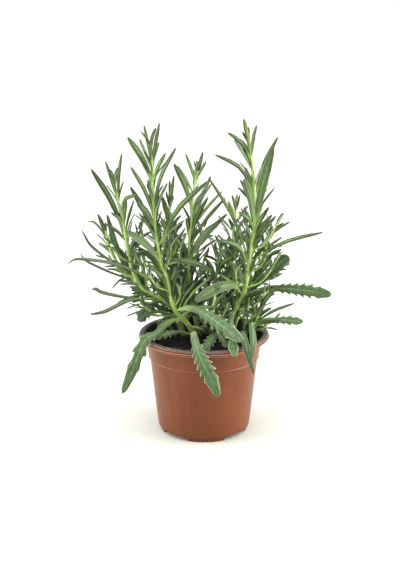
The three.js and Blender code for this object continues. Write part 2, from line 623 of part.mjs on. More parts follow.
function makePot() {
  const floorTop = FOOT_HEIGHT + WALL;
  const outside = [
    [0, 0], [MIDDLE_DISC_RADIUS, 0], [MIDDLE_DISC_RADIUS + 2, FOOT_HEIGHT],
    [BODY_FOOT_RADIUS - BODY_CHAMFER, FOOT_HEIGHT], [BODY_FOOT_RADIUS, FOOT_HEIGHT + BODY_CHAMFER],
    [BODY_TOP_RADIUS, RIDGE_Z - 1], [RIDGE_RADIUS, RIDGE_Z],
    [FLARE_RADIUS, FLARE_Z], [LIP_INNER_RADIUS + WALL, POT_HEIGHT - LIP_DEPTH],
    [LIP_RADIUS - 0.8, POT_HEIGHT - LIP_DEPTH], [LIP_RADIUS, POT_HEIGHT - LIP_DEPTH + 0.8],
    [LIP_RADIUS, POT_HEIGHT - 1], [LIP_RADIUS - 1, POT_HEIGHT],
  ];
  const inside = [
    [LIP_INNER_RADIUS + 1, POT_HEIGHT], [LIP_INNER_RADIUS, POT_HEIGHT - 1],
    [FLARE_RADIUS - WALL, FLARE_Z], [RIDGE_RADIUS - WALL, RIDGE_Z], [BODY_TOP_RADIUS - WALL, RIDGE_Z - 1],
    [BODY_FOOT_RADIUS - WALL, floorTop + BODY_CHAMFER],
    [BODY_FOOT_RADIUS - WALL - BODY_CHAMFER, floorTop], [MIDDLE_DISC_RADIUS + 1, floorTop],
    [MIDDLE_DISC_RADIUS - 1, WALL], [0, WALL],
  ];
  let pot = turned([...outside, ...inside], POT_SIDES);
  for (let f = 0; f < FOOT_COUNT; f += 1) {
    const turn = -Math.PI / 2 + FOOT_TURN + f * 2 * Math.PI / FOOT_COUNT;
    pot = pot.add(solidOf(footSector(turn)));
  }
  for (let f = 0; f < FOOT_COUNT; f += 1) {
    const turn = -Math.PI / 2 + FOOT_TURN + f * 2 * Math.PI / FOOT_COUNT;
    const reach = 1.6 * FOOT_WIDTH;
    const arch = new THREE.CylinderGeometry(DRAIN_ARCH_RADIUS, DRAIN_ARCH_RADIUS, reach, ARCH_SIDES)
      .rotateZ(Math.PI / 2).translate(FOOT_RADIUS - FOOT_WIDTH / 2, 0, -ARCH_DROP).rotateZ(turn);
    const slot = new THREE.BoxGeometry(2 * FOOT_WIDTH, DRAIN_SLOT_WIDTH, 2 * DRAIN_SLOT_HEIGHT)
      .translate(BODY_FOOT_RADIUS, 0, FOOT_HEIGHT).rotateZ(turn + Math.PI / FOOT_COUNT);
    pot = pot.subtract(solidOf(arch)).subtract(solidOf(slot));
  }
  return meshOf(pot, 'pot', POT_PLASTIC);
}

// Soil: one plug with an uneven top, two crossing waves, and a plain hole for every stem
const SMALL_WAVE = 0.6;
function soilHeight(x, y) {
  const large = Math.sin(0.31 * x + 1.3) * Math.cos(0.27 * y);
  const small = SMALL_WAVE * Math.sin(0.19 * x - 0.43 * y);
  return SOIL_LEVEL + SOIL_ROUGHNESS * (large + small) / (1 + SMALL_WAVE);
}

function makeSoil() {
  const floorTop = FOOT_HEIGHT + WALL + SOIL_GAP;
  const edge = potInnerRadius(SOIL_LEVEL) - SOIL_GAP - SOIL_EDGE_PLAY;
  const rim = Array.from({ length: SOIL_RINGS }, (_, r) => [edge * (1 - r / SOIL_RINGS), SOIL_LEVEL]);
  const section = [
    [0, floorTop], [BODY_FOOT_RADIUS - WALL - SOIL_GAP - SOIL_FOOT_CHAMFER, floorTop],
    [BODY_FOOT_RADIUS - WALL - SOIL_GAP, floorTop + SOIL_FOOT_CHAMFER],
    [BODY_TOP_RADIUS - WALL - SOIL_GAP, RIDGE_Z - 1], ...rim, [0, SOIL_LEVEL],
  ];
  const points = section.map((p) => new THREE.Vector2(...p));
  const geometry = new THREE.LatheGeometry(points, POT_SIDES).rotateX(Math.PI / 2);
  const position = geometry.attributes.position;
  for (let i = 0; i < position.count; i += 1) {
    const inner = Math.hypot(position.getX(i), position.getY(i)) < edge - 1;
    const top = position.getZ(i) > SOIL_LEVEL - 0.5;
    if (top && inner) position.setZ(i, soilHeight(position.getX(i), position.getY(i)));
  }
  let soil = solidOf(geometry);
  for (const shoot of SHOOTS) {
    const depth = STEM_HOLE_TOP - STEM_FOOT_Z;
    const radius = shoot.radius + STEM_HOLE_PLAY;
    const hole = new THREE.CylinderGeometry(radius, radius, depth, STEM_HOLE_SIDES).rotateX(Math.PI / 2)
      .translate(shoot.stem[0][0], shoot.stem[0][1], STEM_FOOT_Z - SOIL_GAP + depth / 2);
    soil = soil.subtract(solidOf(hole));
  }
  return meshOf(soil, 'soil', SOIL_PEAT);
}

const lavender = new THREE.Group();
lavender.add(makePot(), makeSoil(), ...growShoots());

export default lavender;
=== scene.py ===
# %% [markdown]
# # A potted lavender
# A young cut-leaved lavender stands in a two-tone nursery pot. The solid model is a fixed frame that
# gives every piece its real size and place. This lesson puts the fine surfaces round it: a thin moulded
# pot, loose peat, and twelve leafy stems with about 1,100 felted leaves.

# %% Load the frame
import math

import bmesh
import bpy
import numpy as np
from mathutils import Matrix, Vector, noise


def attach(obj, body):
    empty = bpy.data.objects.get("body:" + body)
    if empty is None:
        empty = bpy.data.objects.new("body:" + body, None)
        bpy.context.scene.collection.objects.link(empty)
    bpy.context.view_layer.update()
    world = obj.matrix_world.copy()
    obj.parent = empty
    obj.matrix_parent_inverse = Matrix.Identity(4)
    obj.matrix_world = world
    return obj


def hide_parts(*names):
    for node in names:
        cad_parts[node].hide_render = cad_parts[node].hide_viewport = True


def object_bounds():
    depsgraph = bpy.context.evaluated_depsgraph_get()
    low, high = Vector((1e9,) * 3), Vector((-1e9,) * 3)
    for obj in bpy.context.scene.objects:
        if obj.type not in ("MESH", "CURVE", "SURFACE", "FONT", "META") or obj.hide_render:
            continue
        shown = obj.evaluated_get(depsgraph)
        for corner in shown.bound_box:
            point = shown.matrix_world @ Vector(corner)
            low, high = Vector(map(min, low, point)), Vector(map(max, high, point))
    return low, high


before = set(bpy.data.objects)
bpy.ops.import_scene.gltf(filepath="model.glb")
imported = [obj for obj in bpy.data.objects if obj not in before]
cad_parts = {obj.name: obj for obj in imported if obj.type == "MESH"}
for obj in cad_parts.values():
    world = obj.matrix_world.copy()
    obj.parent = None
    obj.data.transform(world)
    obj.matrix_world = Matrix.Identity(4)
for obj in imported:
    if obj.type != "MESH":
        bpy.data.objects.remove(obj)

solid_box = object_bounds()
MM = 0.001
print("solid model, mm:", [round(1000 * x, 1) for x in solid_box[1] - solid_box[0]])

# %% [markdown]
# ## Shared helpers
# Paints are picked as screen colours, in hex, but a shader counts light in linear numbers, so one function
# turns them. A material is a small tree of nodes: one function adds a node with its settings and links, and
# another links sockets to what feeds them. A finished mesh is hung on the frame by the last, which hides
# the solid that the piece stands for.

# %% Colour, node and piece helpers
# Sockets of the colour form of the Mix node
MIX_SHARE, MIX_UNDER, MIX_OVER, MIX_RESULT = 0, 6, 7, 2


def paint(code):
    """A screen colour such as "#a0603f" as linear red, green, blue and a full alpha."""
    shares = [int(code[i:i + 2], 16) / 255 for i in (1, 3, 5)]
    return [s / 12.92 if s <= 0.04045 else ((s + 0.055) / 1.055) ** 2.4 for s in shares] + [1.0]


def feed(tree, node, links):
    """Links sockets of a node to their sources: a socket, or a node whose main output is meant."""
    for socket, source in links.items():
        if isinstance(source, bpy.types.Node):
            source = source.outputs[MIX_RESULT if source.bl_idname == "ShaderNodeMix" else 0]
        tree.links.new(source, node.inputs[socket])


def add_node(tree, kind, values=None, links=None, **settings):
    """Adds a node: values fill its sockets, links feed them, and settings are its own options."""
    made = tree.nodes.new("ShaderNode" + kind)
    for name, value in settings.items():
        setattr(made, name, value)
    for socket, value in (values or {}).items():
        made.inputs[socket].default_value = value
    feed(tree, made, links or {})
    return made


def new_material(name, **surface):
    """An empty material with one principled shader, whose plain numbers are set here."""
    material = bpy.data.materials.new(name)
    material.use_nodes = True
    tree = material.node_tree
    shader = tree.nodes["Principled BSDF"]
    for socket, value in surface.items():
        shader.inputs[socket.replace("_", " ")].default_value = value
    print("material:", name)
    return material, tree, shader


def hang(bm, name, materials, node=None, crease=180):
    """Turns a finished bmesh into an object at the origin and hangs it on the frame."""
    mesh = bpy.data.meshes.new(name)
    for face in bm.faces:
        face.smooth = True
    for edge in bm.edges:
        if edge.calc_face_angle(0) > math.radians(crease):
            edge.smooth = False
    bm.to_mesh(mesh)
    bm.free()
    for material in materials:
        mesh.materials.append(material)
    piece = bpy.data.objects.new(name, mesh)
    bpy.context.scene.collection.objects.link(piece)
    if node:
        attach(piece, "root")
        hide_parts(node)
    triangles = sum(len(p.vertices) - 2 for p in mesh.polygons)
    print(f"{name}: {triangles} triangles")
    return piece

# %% [markdown]
# ## Camera
# The outlines of the pot's lip and foot fix the camera: it stands about 0.89 m in front of the pot,
# a little left of its axis, and looks 14.93 degrees down. An upright picture has its 36 mm sensor side
# along its height, so a 59 mm lens gives the same narrow view.

# %% Camera
CAMERA_PLACE, CAMERA_DOWN = (-0.0039, -0.8885, 0.3847), math.radians(14.93)
CAMERA_LENS, SENSOR_SIDE = 59.0, 36.0
camera_data = bpy.data.cameras.new("camera")
camera_data.lens = CAMERA_LENS
camera_data.sensor_width = SENSOR_SIDE
camera = bpy.data.objects.new("camera", camera_data)
camera.location = CAMERA_PLACE
camera.rotation_euler = (math.pi / 2 - CAMERA_DOWN, 0, 0)
bpy.context.scene.collection.objects.link(camera)
bpy.context.scene.camera = camera
print("camera to pot, mm:", round(Vector(CAMERA_PLACE).xy.length / MM))

# %% [markdown]
# ## Floor and light
# The picture has a white sweep with hardly any shadow. A real one is made with white paper, a large soft
# box overhead and a room that is dimmer on the camera's side. Here a wide floor is painted light grey,
# which the lights raise to nearly white, and runs out to a white surrounding, so that no horizon shows.
# The surrounding is bright behind the plant and along the horizon and dim elsewhere, which leaves the
# middle of the pot dark. A very wide sun stands for the soft box overhead, and a low box at each side
# gives the pot its pale flanks.

# %% Floor
# The paper's clouds of fibre are drawn coarse, 35 in 100 mm, or they would not show.
FLOOR_SIZE, PAPER_CLOUDS = 30.0, 35 / (100 * MM)
floor_material, tree, shader = new_material("matte_white_paper", Roughness=0.9, IOR=1.45)
place = add_node(tree, "TexCoord").outputs["Object"]
fibre = add_node(tree, "TexNoise", {"Scale": PAPER_CLOUDS, "Detail": 2.0}, {"Vector": place})
tone = add_node(tree, "Mix", {MIX_UNDER: paint("#c6c8be"), MIX_OVER: paint("#cdcfc6")},
                {MIX_SHARE: fibre}, data_type="RGBA")
feed(tree, shader, {"Base Color": tone})
bm = bmesh.new()
bmesh.ops.create_grid(bm, x_segments=8, y_segments=8, size=FLOOR_SIZE / 2)
floor = hang(bm, "floor", [floor_material])

# %% White surrounding
BACKDROP, ROOM = 1.15, 0.34
world = bpy.data.worlds.new("white_sweep_in_a_dim_room")
world.use_nodes = True
tree = world.node_tree
way = add_node(tree, "SeparateXYZ", links={0: add_node(tree, "TexCoord").outputs["Generated"]})
behind = add_node(tree, "MapRange", {"From Min": -0.1, "From Max": 0.55}, {"Value": way.outputs["Y"]})
low = add_node(tree, "MapRange", {"From Min": 0.08, "From Max": 0.2, "To Min": 1.0, "To Max": 0.0},
               {"Value": way.outputs["Z"]})
lit = add_node(tree, "Math", links={0: behind, 1: low}, operation="MAXIMUM")
strength = add_node(tree, "MapRange", {"To Min": ROOM, "To Max": BACKDROP}, {"Value": lit})
background = tree.nodes["Background"]
background.inputs["Color"].default_value = (1, 1, 1, 1)
feed(tree, background, {"Strength": strength})
bpy.context.scene.world = world
bpy.context.scene.view_settings.view_transform = "Standard"

# %% Lights
SUN_STRENGTH, SUN_WIDTH = 3.8, math.radians(75)
SUN_TURN = (math.radians(8), math.radians(-3), 0)
BOX_SIZE, BOX_AWAY, BOX_FORWARD, BOX_HEIGHT = 0.7, 1.0, 0.15, 0.35
BOX_AIM = Vector((0, 0, 0.12))
LEFT_WATTS, RIGHT_WATTS = 12.0, 16.5
sun_data = bpy.data.lights.new("overhead", "SUN")
sun_data.energy = SUN_STRENGTH
sun_data.angle = SUN_WIDTH
sun = bpy.data.objects.new("overhead", sun_data)
sun.rotation_euler = SUN_TURN
bpy.context.scene.collection.objects.link(sun)
for name, side, watts in (("left_box", -1, LEFT_WATTS), ("right_box", 1, RIGHT_WATTS)):
    box_data = bpy.data.lights.new(name, "AREA")
    box_data.energy = watts
    box_data.size = BOX_SIZE
    box = bpy.data.objects.new(name, box_data)
    box.location = (side * BOX_AWAY, -BOX_FORWARD, BOX_HEIGHT)
    box.rotation_euler = (BOX_AIM - box.location).to_track_quat("-Z", "Y").to_euler()
    box.visible_camera = False
    bpy.context.scene.collection.objects.link(box)
    print(f"{name}: {watts} W")

# %% [markdown]
# ## Pot
# The pot is one sheet of plastic, drawn down into a mould: terracotta brown outside, near-black inside.
# The sheet turns outwards at the mouth, so the dark side comes up over the lip. The outside keeps the
# polish of the mould, with faint upright streaks where the sheet was stretched. It could be a single flat
# colour, but then it would look like clay or paint. So the streaks, a little unevenness and specks of grit
# under the rim are drawn in, with painted highlights on the rounded edges at the rim and ridge and painted
# shadow under the lip.

# %% Terracotta side of the sheet
# A streak and its neighbour are 7 mm apart, and are drawn 25 times as long as wide.
STREAK_SPACING, STREAK_LENGTH, CLOUD, GRIT = 7.0 * MM, 25, 40 * MM, 1.6 * MM
GRIT_FROM, GRIT_TO = 85 * MM, 97 * MM
# Bands: height and half width in millimetres, colour and strength. The pale lines are painted highlights
# where the rounded edges of the lip, a line on the flared band and the ridge catch the light. The dark band
# under the lip is painted shadow, and the lip's upright face is darker between its two highlights.
PAINTED_LIGHT_BANDS = [
    (97.75, 0.6, "#3d2116", 0.75), (98.65, 0.3, "#8f6050", 0.8), (96.5, 0.4, "#b47a62", 0.8),
    (94.4, 1.2, "#45261a", 0.6), (92.4, 0.35, "#a87058", 0.6), (76.2, 0.5, "#965a43", 0.65),
]
pot_brown, tree, shader = new_material("thermoformed_plastic_terracotta", Roughness=0.4, IOR=1.49,
                                       Specular_IOR_Level=0.26)
place = add_node(tree, "TexCoord").outputs["Object"]
height = add_node(tree, "SeparateXYZ", links={0: place}).outputs["Z"]
upright = add_node(tree, "Mapping", {"Scale": (1.0, 1.0, 1 / STREAK_LENGTH)}, {"Vector": place})
streak = add_node(tree, "TexNoise", {"Scale": 1 / STREAK_SPACING, "Detail": 3.0}, {"Vector": upright})
cloud = add_node(tree, "TexNoise", {"Scale": 1 / CLOUD, "Detail": 3.0}, {"Vector": place})
grit = add_node(tree, "TexNoise", {"Scale": 1 / GRIT, "Detail": 2.0}, {"Vector": place})
near_lip = add_node(tree, "MapRange", {"From Min": GRIT_FROM, "From Max": GRIT_TO}, {"Value": height})
speck = add_node(tree, "MapRange", {"From Min": 0.68, "From Max": 0.74}, {"Value": grit})
dirt = add_node(tree, "Math", links={0: near_lip, 1: speck}, operation="MULTIPLY")
shade = add_node(tree, "MapRange", {"From Min": 0.35, "From Max": 0.65}, {"Value": streak})
colour = add_node(tree, "Mix", {MIX_UNDER: paint("#5f2d15"), MIX_OVER: paint("#6a351c")},
                  {MIX_SHARE: shade}, data_type="RGBA")
layers = [(cloud, "#754023")]
# The bands lay painted highlights and painted shadow over the colour.
for band_z, band_half, band_colour, strength in PAINTED_LIGHT_BANDS:
    band = add_node(tree, "Math", {1: band_z * MM, 2: band_half * MM}, {0: height}, operation="COMPARE")
    share = add_node(tree, "Math", {1: strength}, {0: band}, operation="MULTIPLY")
    layers.append((share, band_colour))
for share, over in [*layers, (dirt, "#21140e")]:
    colour = add_node(tree, "Mix", {MIX_OVER: paint(over)}, {MIX_SHARE: share, MIX_UNDER: colour},
                      data_type="RGBA")
gloss = add_node(tree, "MapRange", {"To Min": 0.3, "To Max": 0.46}, {"Value": cloud})
bump = add_node(tree, "Bump", {"Strength": 0.12, "Distance": 0.2 * MM}, {"Height": streak})
feed(tree, shader, {"Base Color": colour, "Roughness": gloss, "Normal": bump})

# %% [markdown]
# The inner side is the same plastic with black pigment. On the lip it looks grey, where it mirrors the
# bright room at a low angle and peat dust lies on it. So its colour is a dusty grey there, partly real dust
# and partly painted reflection of the room, and nearly black below.

# %% Dark side of the sheet
DUST_PATCH, LIP_FROM, LIP_TO = 6 * MM, 97.8 * MM, 99.2 * MM
pot_dark, tree, shader = new_material("thermoformed_plastic_black", Roughness=0.45, IOR=1.5,
                                      Specular_IOR_Level=0.35)
place = add_node(tree, "TexCoord").outputs["Object"]
height = add_node(tree, "SeparateXYZ", links={0: place}).outputs["Z"]
dust = add_node(tree, "TexNoise", {"Scale": 1 / DUST_PATCH, "Detail": 5.0, "Roughness": 0.65},
                {"Vector": place})
film = add_node(tree, "MapRange", {"From Min": 0.4, "From Max": 0.7}, {"Value": dust})
# The grey on the lip is partly dust and partly painted reflection of the bright room.
lip_dust_and_reflection = add_node(tree, "MapRange", {"From Min": LIP_FROM, "From Max": LIP_TO}, {"Value": height})
grey = add_node(tree, "Mix", {MIX_UNDER: paint("#3f3733"), MIX_OVER: paint("#675a53")},
                {MIX_SHARE: film}, data_type="RGBA")
colour = add_node(tree, "Mix", {MIX_UNDER: paint("#0f0c0a")}, {MIX_SHARE: lip_dust_and_reflection, MIX_OVER: grey},
                  data_type="RGBA")
matte = add_node(tree, "MapRange", {"To Min": 0.42, "To Max": 0.6}, {"Value": film})
feed(tree, shader, {"Base Color": colour, "Roughness": matte})

# %% [markdown]
# The shell is a turned shape, so its wall is drawn once, as the outline that a cut through the pot shows,
# and spun round the upright axis. The outline runs out along the underside, up the outside, over the lip
# and back down the inside, so that the wall is a closed skin of the real thickness. Every step of the
# spin is two degrees, which lets the feet and the drain slots begin and end on its edges.

# %% Spin the wall
POT_HEIGHT, LIP_RADIUS, LIP_INNER, LIP_DEPTH = 100.0, 65.0, 58.5, 4.0
FLARE_Z, FLARE_RADIUS, RIDGE_Z, RIDGE_RADIUS = 90.5, 57.6, 76.3, 54.9
BODY_TOP, BODY_FOOT, BODY_CHAMFER, WALL = 54.0, 46.4, 2.4, 1.2
FOOT_HEIGHT, FOOT_RADIUS, FOOT_WIDTH, DISC_RADIUS = 3.0, 44.0, 7.0, 22.0
SLOT_TOP, SLOT_DEPTH = 5.4, 40.0
RIDGE_BEAD, LIP_BEAD = 0.6, 0.5
SPIN_STEPS, FOOT_TURN, FOOT_HALF_ARC = 180, math.radians(3), math.radians(24)
floor_top = FOOT_HEIGHT + WALL
lip_bottom = POT_HEIGHT - LIP_DEPTH
inner_foot = BODY_FOOT - WALL - BODY_CHAMFER


def spin_outline(outline, steps, first_angle=0.0):
    """A mesh from an outline of radius and height, in millimetres, spun round the upright axis."""
    bm = bmesh.new()
    profile = [bm.verts.new((r * math.cos(first_angle) * MM, r * math.sin(first_angle) * MM, z * MM))
               for r, z in outline]
    edges = [bm.edges.new(pair) for pair in zip(profile, profile[1:])]
    bmesh.ops.spin(bm, geom=profile + edges, cent=(0, 0, 0), axis=(0, 0, 1), dvec=(0, 0, 0),
                   angle=2 * math.pi, steps=steps, use_merge=True)
    bmesh.ops.remove_doubles(bm, verts=bm.verts, dist=0.01 * MM)
    bmesh.ops.recalc_face_normals(bm, faces=bm.faces)
    return bm


outline = [
    (0, 0), (DISC_RADIUS, 0), (DISC_RADIUS + 2, FOOT_HEIGHT), (FOOT_RADIUS - FOOT_WIDTH, FOOT_HEIGHT),
    (SLOT_DEPTH, FOOT_HEIGHT), (FOOT_RADIUS, FOOT_HEIGHT), (BODY_FOOT - 1.3, FOOT_HEIGHT + 0.5),
    (BODY_FOOT - 0.45, FOOT_HEIGHT + 1.3), (BODY_FOOT, FOOT_HEIGHT + BODY_CHAMFER), (BODY_TOP, RIDGE_Z - 1),
    (RIDGE_RADIUS + RIDGE_BEAD, RIDGE_Z - 0.2), (RIDGE_RADIUS + 0.1, RIDGE_Z + 0.7),
    (FLARE_RADIUS, FLARE_Z), (LIP_INNER + WALL, lip_bottom),
    (LIP_RADIUS - LIP_BEAD, lip_bottom), (LIP_RADIUS, lip_bottom + 0.4),
    (LIP_RADIUS, lip_bottom + 0.8), (LIP_RADIUS - LIP_BEAD, lip_bottom + 1.3),
    (LIP_RADIUS - LIP_BEAD, POT_HEIGHT - 1.3), (LIP_RADIUS - 1.3, POT_HEIGHT - 0.3),
    (LIP_RADIUS - 2.6, POT_HEIGHT), (LIP_INNER + 1.6, POT_HEIGHT), (LIP_INNER + 0.4, POT_HEIGHT - 0.5),
    (LIP_INNER, POT_HEIGHT - 1.4), (FLARE_RADIUS - WALL, FLARE_Z), (RIDGE_RADIUS - WALL, RIDGE_Z),
    (BODY_TOP - WALL, RIDGE_Z - 1), (BODY_FOOT - WALL, floor_top + BODY_CHAMFER),
    (inner_foot + SLOT_TOP - floor_top, SLOT_TOP), (inner_foot, floor_top), (SLOT_DEPTH, floor_top),
    (DISC_RADIUS + 1, floor_top), (DISC_RADIUS - 1, WALL), (0, WALL),
]
bm = spin_outline(outline, SPIN_STEPS, -math.pi / 2 + FOOT_TURN - FOOT_HALF_ARC)
print("pot wall faces:", len(bm.faces))

# %% [markdown]
# The four feet are short bands of the underside, pulled down to the table. Each has a small arch pressed
# through it that lets water out. The arch is made by cutting the foot with a fan of upright planes and
# lifting the lowest points between them onto a circle.

# %% Feet with their drain arches
FOOT_COUNT, ARCH_RADIUS, ARCH_DROP, ARCH_CUTS = 4, 2.2, 0.2, 3
FOOT_INNER = FOOT_RADIUS - FOOT_WIDTH


def turned_place(point, turn):
    """Distance along and beside the direction of a foot, in millimetres."""
    out = Vector((math.cos(turn), math.sin(turn), 0))
    beside = Vector((-math.sin(turn), math.cos(turn), 0))
    return point.dot(out) / MM, point.dot(beside) / MM


def face_place(face, turn):
    """A face's radius and height, in millimetres, and the angle between it and a direction."""
    middle = face.calc_center_median()
    out, beside = turned_place(middle, turn)
    return math.hypot(middle.x, middle.y) / MM, middle.z / MM, abs(math.atan2(beside, out))


def under_foot(face, turn):
    """Whether a face of the underside lies where a foot is pulled down."""
    radius, z, angle = face_place(face, turn)
    return FOOT_INNER < radius < FOOT_RADIUS and abs(z - FOOT_HEIGHT) < 0.1 and angle < FOOT_HALF_ARC


def by_arch(face, turn):
    """Whether a face belongs to the middle of a foot, where the arch is pressed."""
    radius, z, angle = face_place(face, turn)
    return z < FOOT_HEIGHT - 0.1 and radius > FOOT_INNER - 1 and angle < FOOT_HALF_ARC / 2


foot_turns = [-math.pi / 2 + FOOT_TURN + f * 2 * math.pi / FOOT_COUNT for f in range(FOOT_COUNT)]
for turn in foot_turns:
    band = [f for f in bm.faces if under_foot(f, turn)]
    pulled = bmesh.ops.extrude_face_region(bm, geom=band)["geom"]
    bmesh.ops.translate(bm, verts=[v for v in pulled if isinstance(v, bmesh.types.BMVert)],
                        vec=(0, 0, -FOOT_HEIGHT * MM))
    bmesh.ops.delete(bm, geom=[f for f in band if f.is_valid], context="FACES_ONLY")
    beside = Vector((-math.sin(turn), math.cos(turn), 0))
    for step in range(-ARCH_CUTS, ARCH_CUTS + 1):
        near = [f for f in bm.faces if by_arch(f, turn)]
        parts = set(near) | {e for f in near for e in f.edges} | {v for f in near for v in f.verts}
        offset = ARCH_RADIUS * math.sin(step * math.pi / 2 / ARCH_CUTS)
        bmesh.ops.bisect_plane(bm, geom=list(parts), plane_co=beside * offset * MM, plane_no=beside)
    for vert in bm.verts:
        out, side = turned_place(vert.co, turn)
        if out > FOOT_INNER - 1 and abs(side) < ARCH_RADIUS and vert.co.z < 0.1 * MM:
            vert.co.z = max(0, math.sqrt(ARCH_RADIUS ** 2 - side ** 2) - ARCH_DROP) * MM
print("pot faces with feet:", len(bm.faces))

# %% [markdown]
# Between the feet the corner of the pot is cut away, so that water can run out sideways. The slot goes
# through both skins. The faces of each skin are taken out there, and the two open edges are bridged.

# %% Drain slots
SLOT_HALF_ARC = math.radians(4)


def in_slot(face, turn):
    """Whether a face of either skin lies where the slot is cut."""
    radius, z, angle = face_place(face, turn)
    return angle < SLOT_HALF_ARC and radius > SLOT_DEPTH and FOOT_HEIGHT - 0.1 < z < SLOT_TOP


for turn in foot_turns:
    taken_out = [f for f in bm.faces if in_slot(f, turn + math.pi / FOOT_COUNT)]
    bmesh.ops.delete(bm, geom=taken_out, context="FACES")
    bmesh.ops.bridge_loops(bm, edges=[e for e in bm.edges if e.is_boundary])
print("pot faces with slots:", len(bm.faces))

# %% [markdown]
# Moulded plastic has no knife edges. The rings where the outline turns are bevelled with a few segments:
# the lip most, and the ridge under the flared band only a little, because it shows as a thin bright line.

# %% Round the rings and finish the pot
RING_SLACK, CREASE = 0.02, 38


def on_ring(vert, radius, z):
    """Whether a vertex lies on the ring at one point of the outline."""
    return abs(math.hypot(*vert.co.xy) / MM - radius) < RING_SLACK and abs(vert.co.z / MM - z) < RING_SLACK


for radius, z, softness in [
    (LIP_RADIUS - 1.3, POT_HEIGHT - 0.3, 0.5), (LIP_RADIUS - LIP_BEAD, POT_HEIGHT - 1.3, 0.5),
    (LIP_INNER + 1.6, POT_HEIGHT, 0.5), (LIP_INNER + 0.4, POT_HEIGHT - 0.5, 0.4),
    (LIP_INNER, POT_HEIGHT - 1.4, 0.4), (RIDGE_RADIUS + RIDGE_BEAD, RIDGE_Z - 0.2, 0.25),
    (FLARE_RADIUS, FLARE_Z, 1.0), (LIP_INNER + WALL, lip_bottom, 0.8), (DISC_RADIUS, 0, 0.6),
]:
    ring = [e for e in bm.edges if all(on_ring(v, radius, z) for v in e.verts)]
    bmesh.ops.bevel(bm, geom=ring, offset=softness * MM, segments=3, profile=0.5, affect="EDGES",
                    material=-1)
BROWN, DARK = 0, 1
for face in bm.faces:
    middle = face.calc_center_median()
    outward = face.normal.dot(Vector((middle.x, middle.y, 0)).normalized())
    on_lip = face.normal.z > 0.4 and middle.z / MM > POT_HEIGHT - 1.5
    inner_skin = outward < -0.4 or on_lip
    face.material_index = DARK if inner_skin and middle.z > FOOT_HEIGHT * MM else BROWN
hang(bm, "pot_shell", [pot_brown, pot_dark], "pot", crease=CREASE)

# %% [markdown]
# ## One tube for stems, leaves and fibres
# A stem, a leaf and a fibre are all a tube: round and thick, or pressed flat. So one closed tube is
# modelled for each need, straight and with rows of the same height, and is copied and bent onto a line
# later. A cone with two equal ends is such a tube, and cutting its long edges gives the rows. Each
# corner remembers its row and its place round the tube.

# %% Blank tube
UPPER_SIDE, UNDER_SIDE, STEM_SKIN = 0, 1, 2


def tube_blank(sides, rows, flat=False):
    """A closed straight tube as a mesh, with the row and the corner number of every vertex."""
    bm = bmesh.new()
    bmesh.ops.create_cone(bm, cap_ends=True, segments=sides, radius1=1, radius2=1, depth=rows)
    long_edges = [e for e in bm.edges if abs(e.verts[0].co.z - e.verts[1].co.z) > rows / 2]
    bmesh.ops.subdivide_edges(bm, edges=long_edges, cuts=rows - 1, use_grid_fill=True)
    bmesh.ops.translate(bm, verts=bm.verts, vec=(0, 0, rows / 2))
    bmesh.ops.recalc_face_normals(bm, faces=bm.faces)
    corner = [round(math.atan2(v.co.y, v.co.x) / (2 * math.pi) * sides) % sides for v in bm.verts]
    row = [round(v.co.z) for v in bm.verts]
    if flat:
        for face in bm.faces:
            face.material_index = UPPER_SIDE if face.calc_center_median().y > 0.01 else UNDER_SIDE
        for edge in bm.edges:
            edge.smooth = not all(abs(v.co.y) < 0.01 for v in edge.verts)
    mesh = bpy.data.meshes.new("blank")
    bm.to_mesh(mesh)
    bm.free()
    return {"mesh": mesh, "corner": np.array(corner), "row": np.array(row)}


def lay_tube(bm, blank, points):
    """Copies a blank into a bmesh, puts its vertices at the points, in metres, and returns them."""
    first = len(bm.verts)
    bm.from_mesh(blank["mesh"])
    bm.verts.ensure_lookup_table()
    new_verts = bm.verts[first:]
    for vert, point in zip(new_verts, points):
        vert.co = point
    return new_verts


# %% [markdown]
# ## Soil
# Potting peat is a heap of dark crumbs with pale fibres. A bump map alone would leave a smooth outline
# where the soil meets the wall, so the plug has a top with many rings that are lifted by noise, and
# several hundred loose crumbs and fibres are strewn over it by seeded draws.

# %% Peat materials
CRUMB, DAMP_PATCH, FIBRE_PATCH = 1.8 * MM, 9 * MM, 5 * MM
peat, tree, shader = new_material("milled_peat", Roughness=0.95, IOR=1.4)
place = add_node(tree, "TexCoord").outputs["Object"]
crumbs = add_node(tree, "TexVoronoi", {"Scale": 1 / CRUMB}, {"Vector": place})
damp = add_node(tree, "TexNoise", {"Scale": 1 / DAMP_PATCH, "Detail": 4.0}, {"Vector": place})
colour = add_node(tree, "Mix", {MIX_UNDER: paint("#0b0806"), MIX_OVER: paint("#1e1611")},
                  {MIX_SHARE: damp}, data_type="RGBA")
bump = add_node(tree, "Bump", {"Strength": 0.8, "Distance": 0.6 * MM}, {"Height": crumbs})
feed(tree, shader, {"Base Color": colour, "Normal": bump})

fibre_brown, tree, shader = new_material("peat_fibre", Roughness=0.8, IOR=1.45)
place = add_node(tree, "TexCoord").outputs["Object"]
age = add_node(tree, "TexNoise", {"Scale": 1 / FIBRE_PATCH, "Detail": 2.0}, {"Vector": place})
colour = add_node(tree, "Mix", {MIX_UNDER: paint("#291e16"), MIX_OVER: paint("#5a4532")},
                  {MIX_SHARE: age}, data_type="RGBA")
feed(tree, shader, {"Base Color": colour})

# %% Spin the plug and lift its top
SOIL_LEVEL, SOIL_ROUGHNESS, SOIL_GAP = 87.0, 1.3, 0.3
SOIL_CHAMFER, SOIL_RINGS, SOIL_STEPS = 2.6, 36, 120


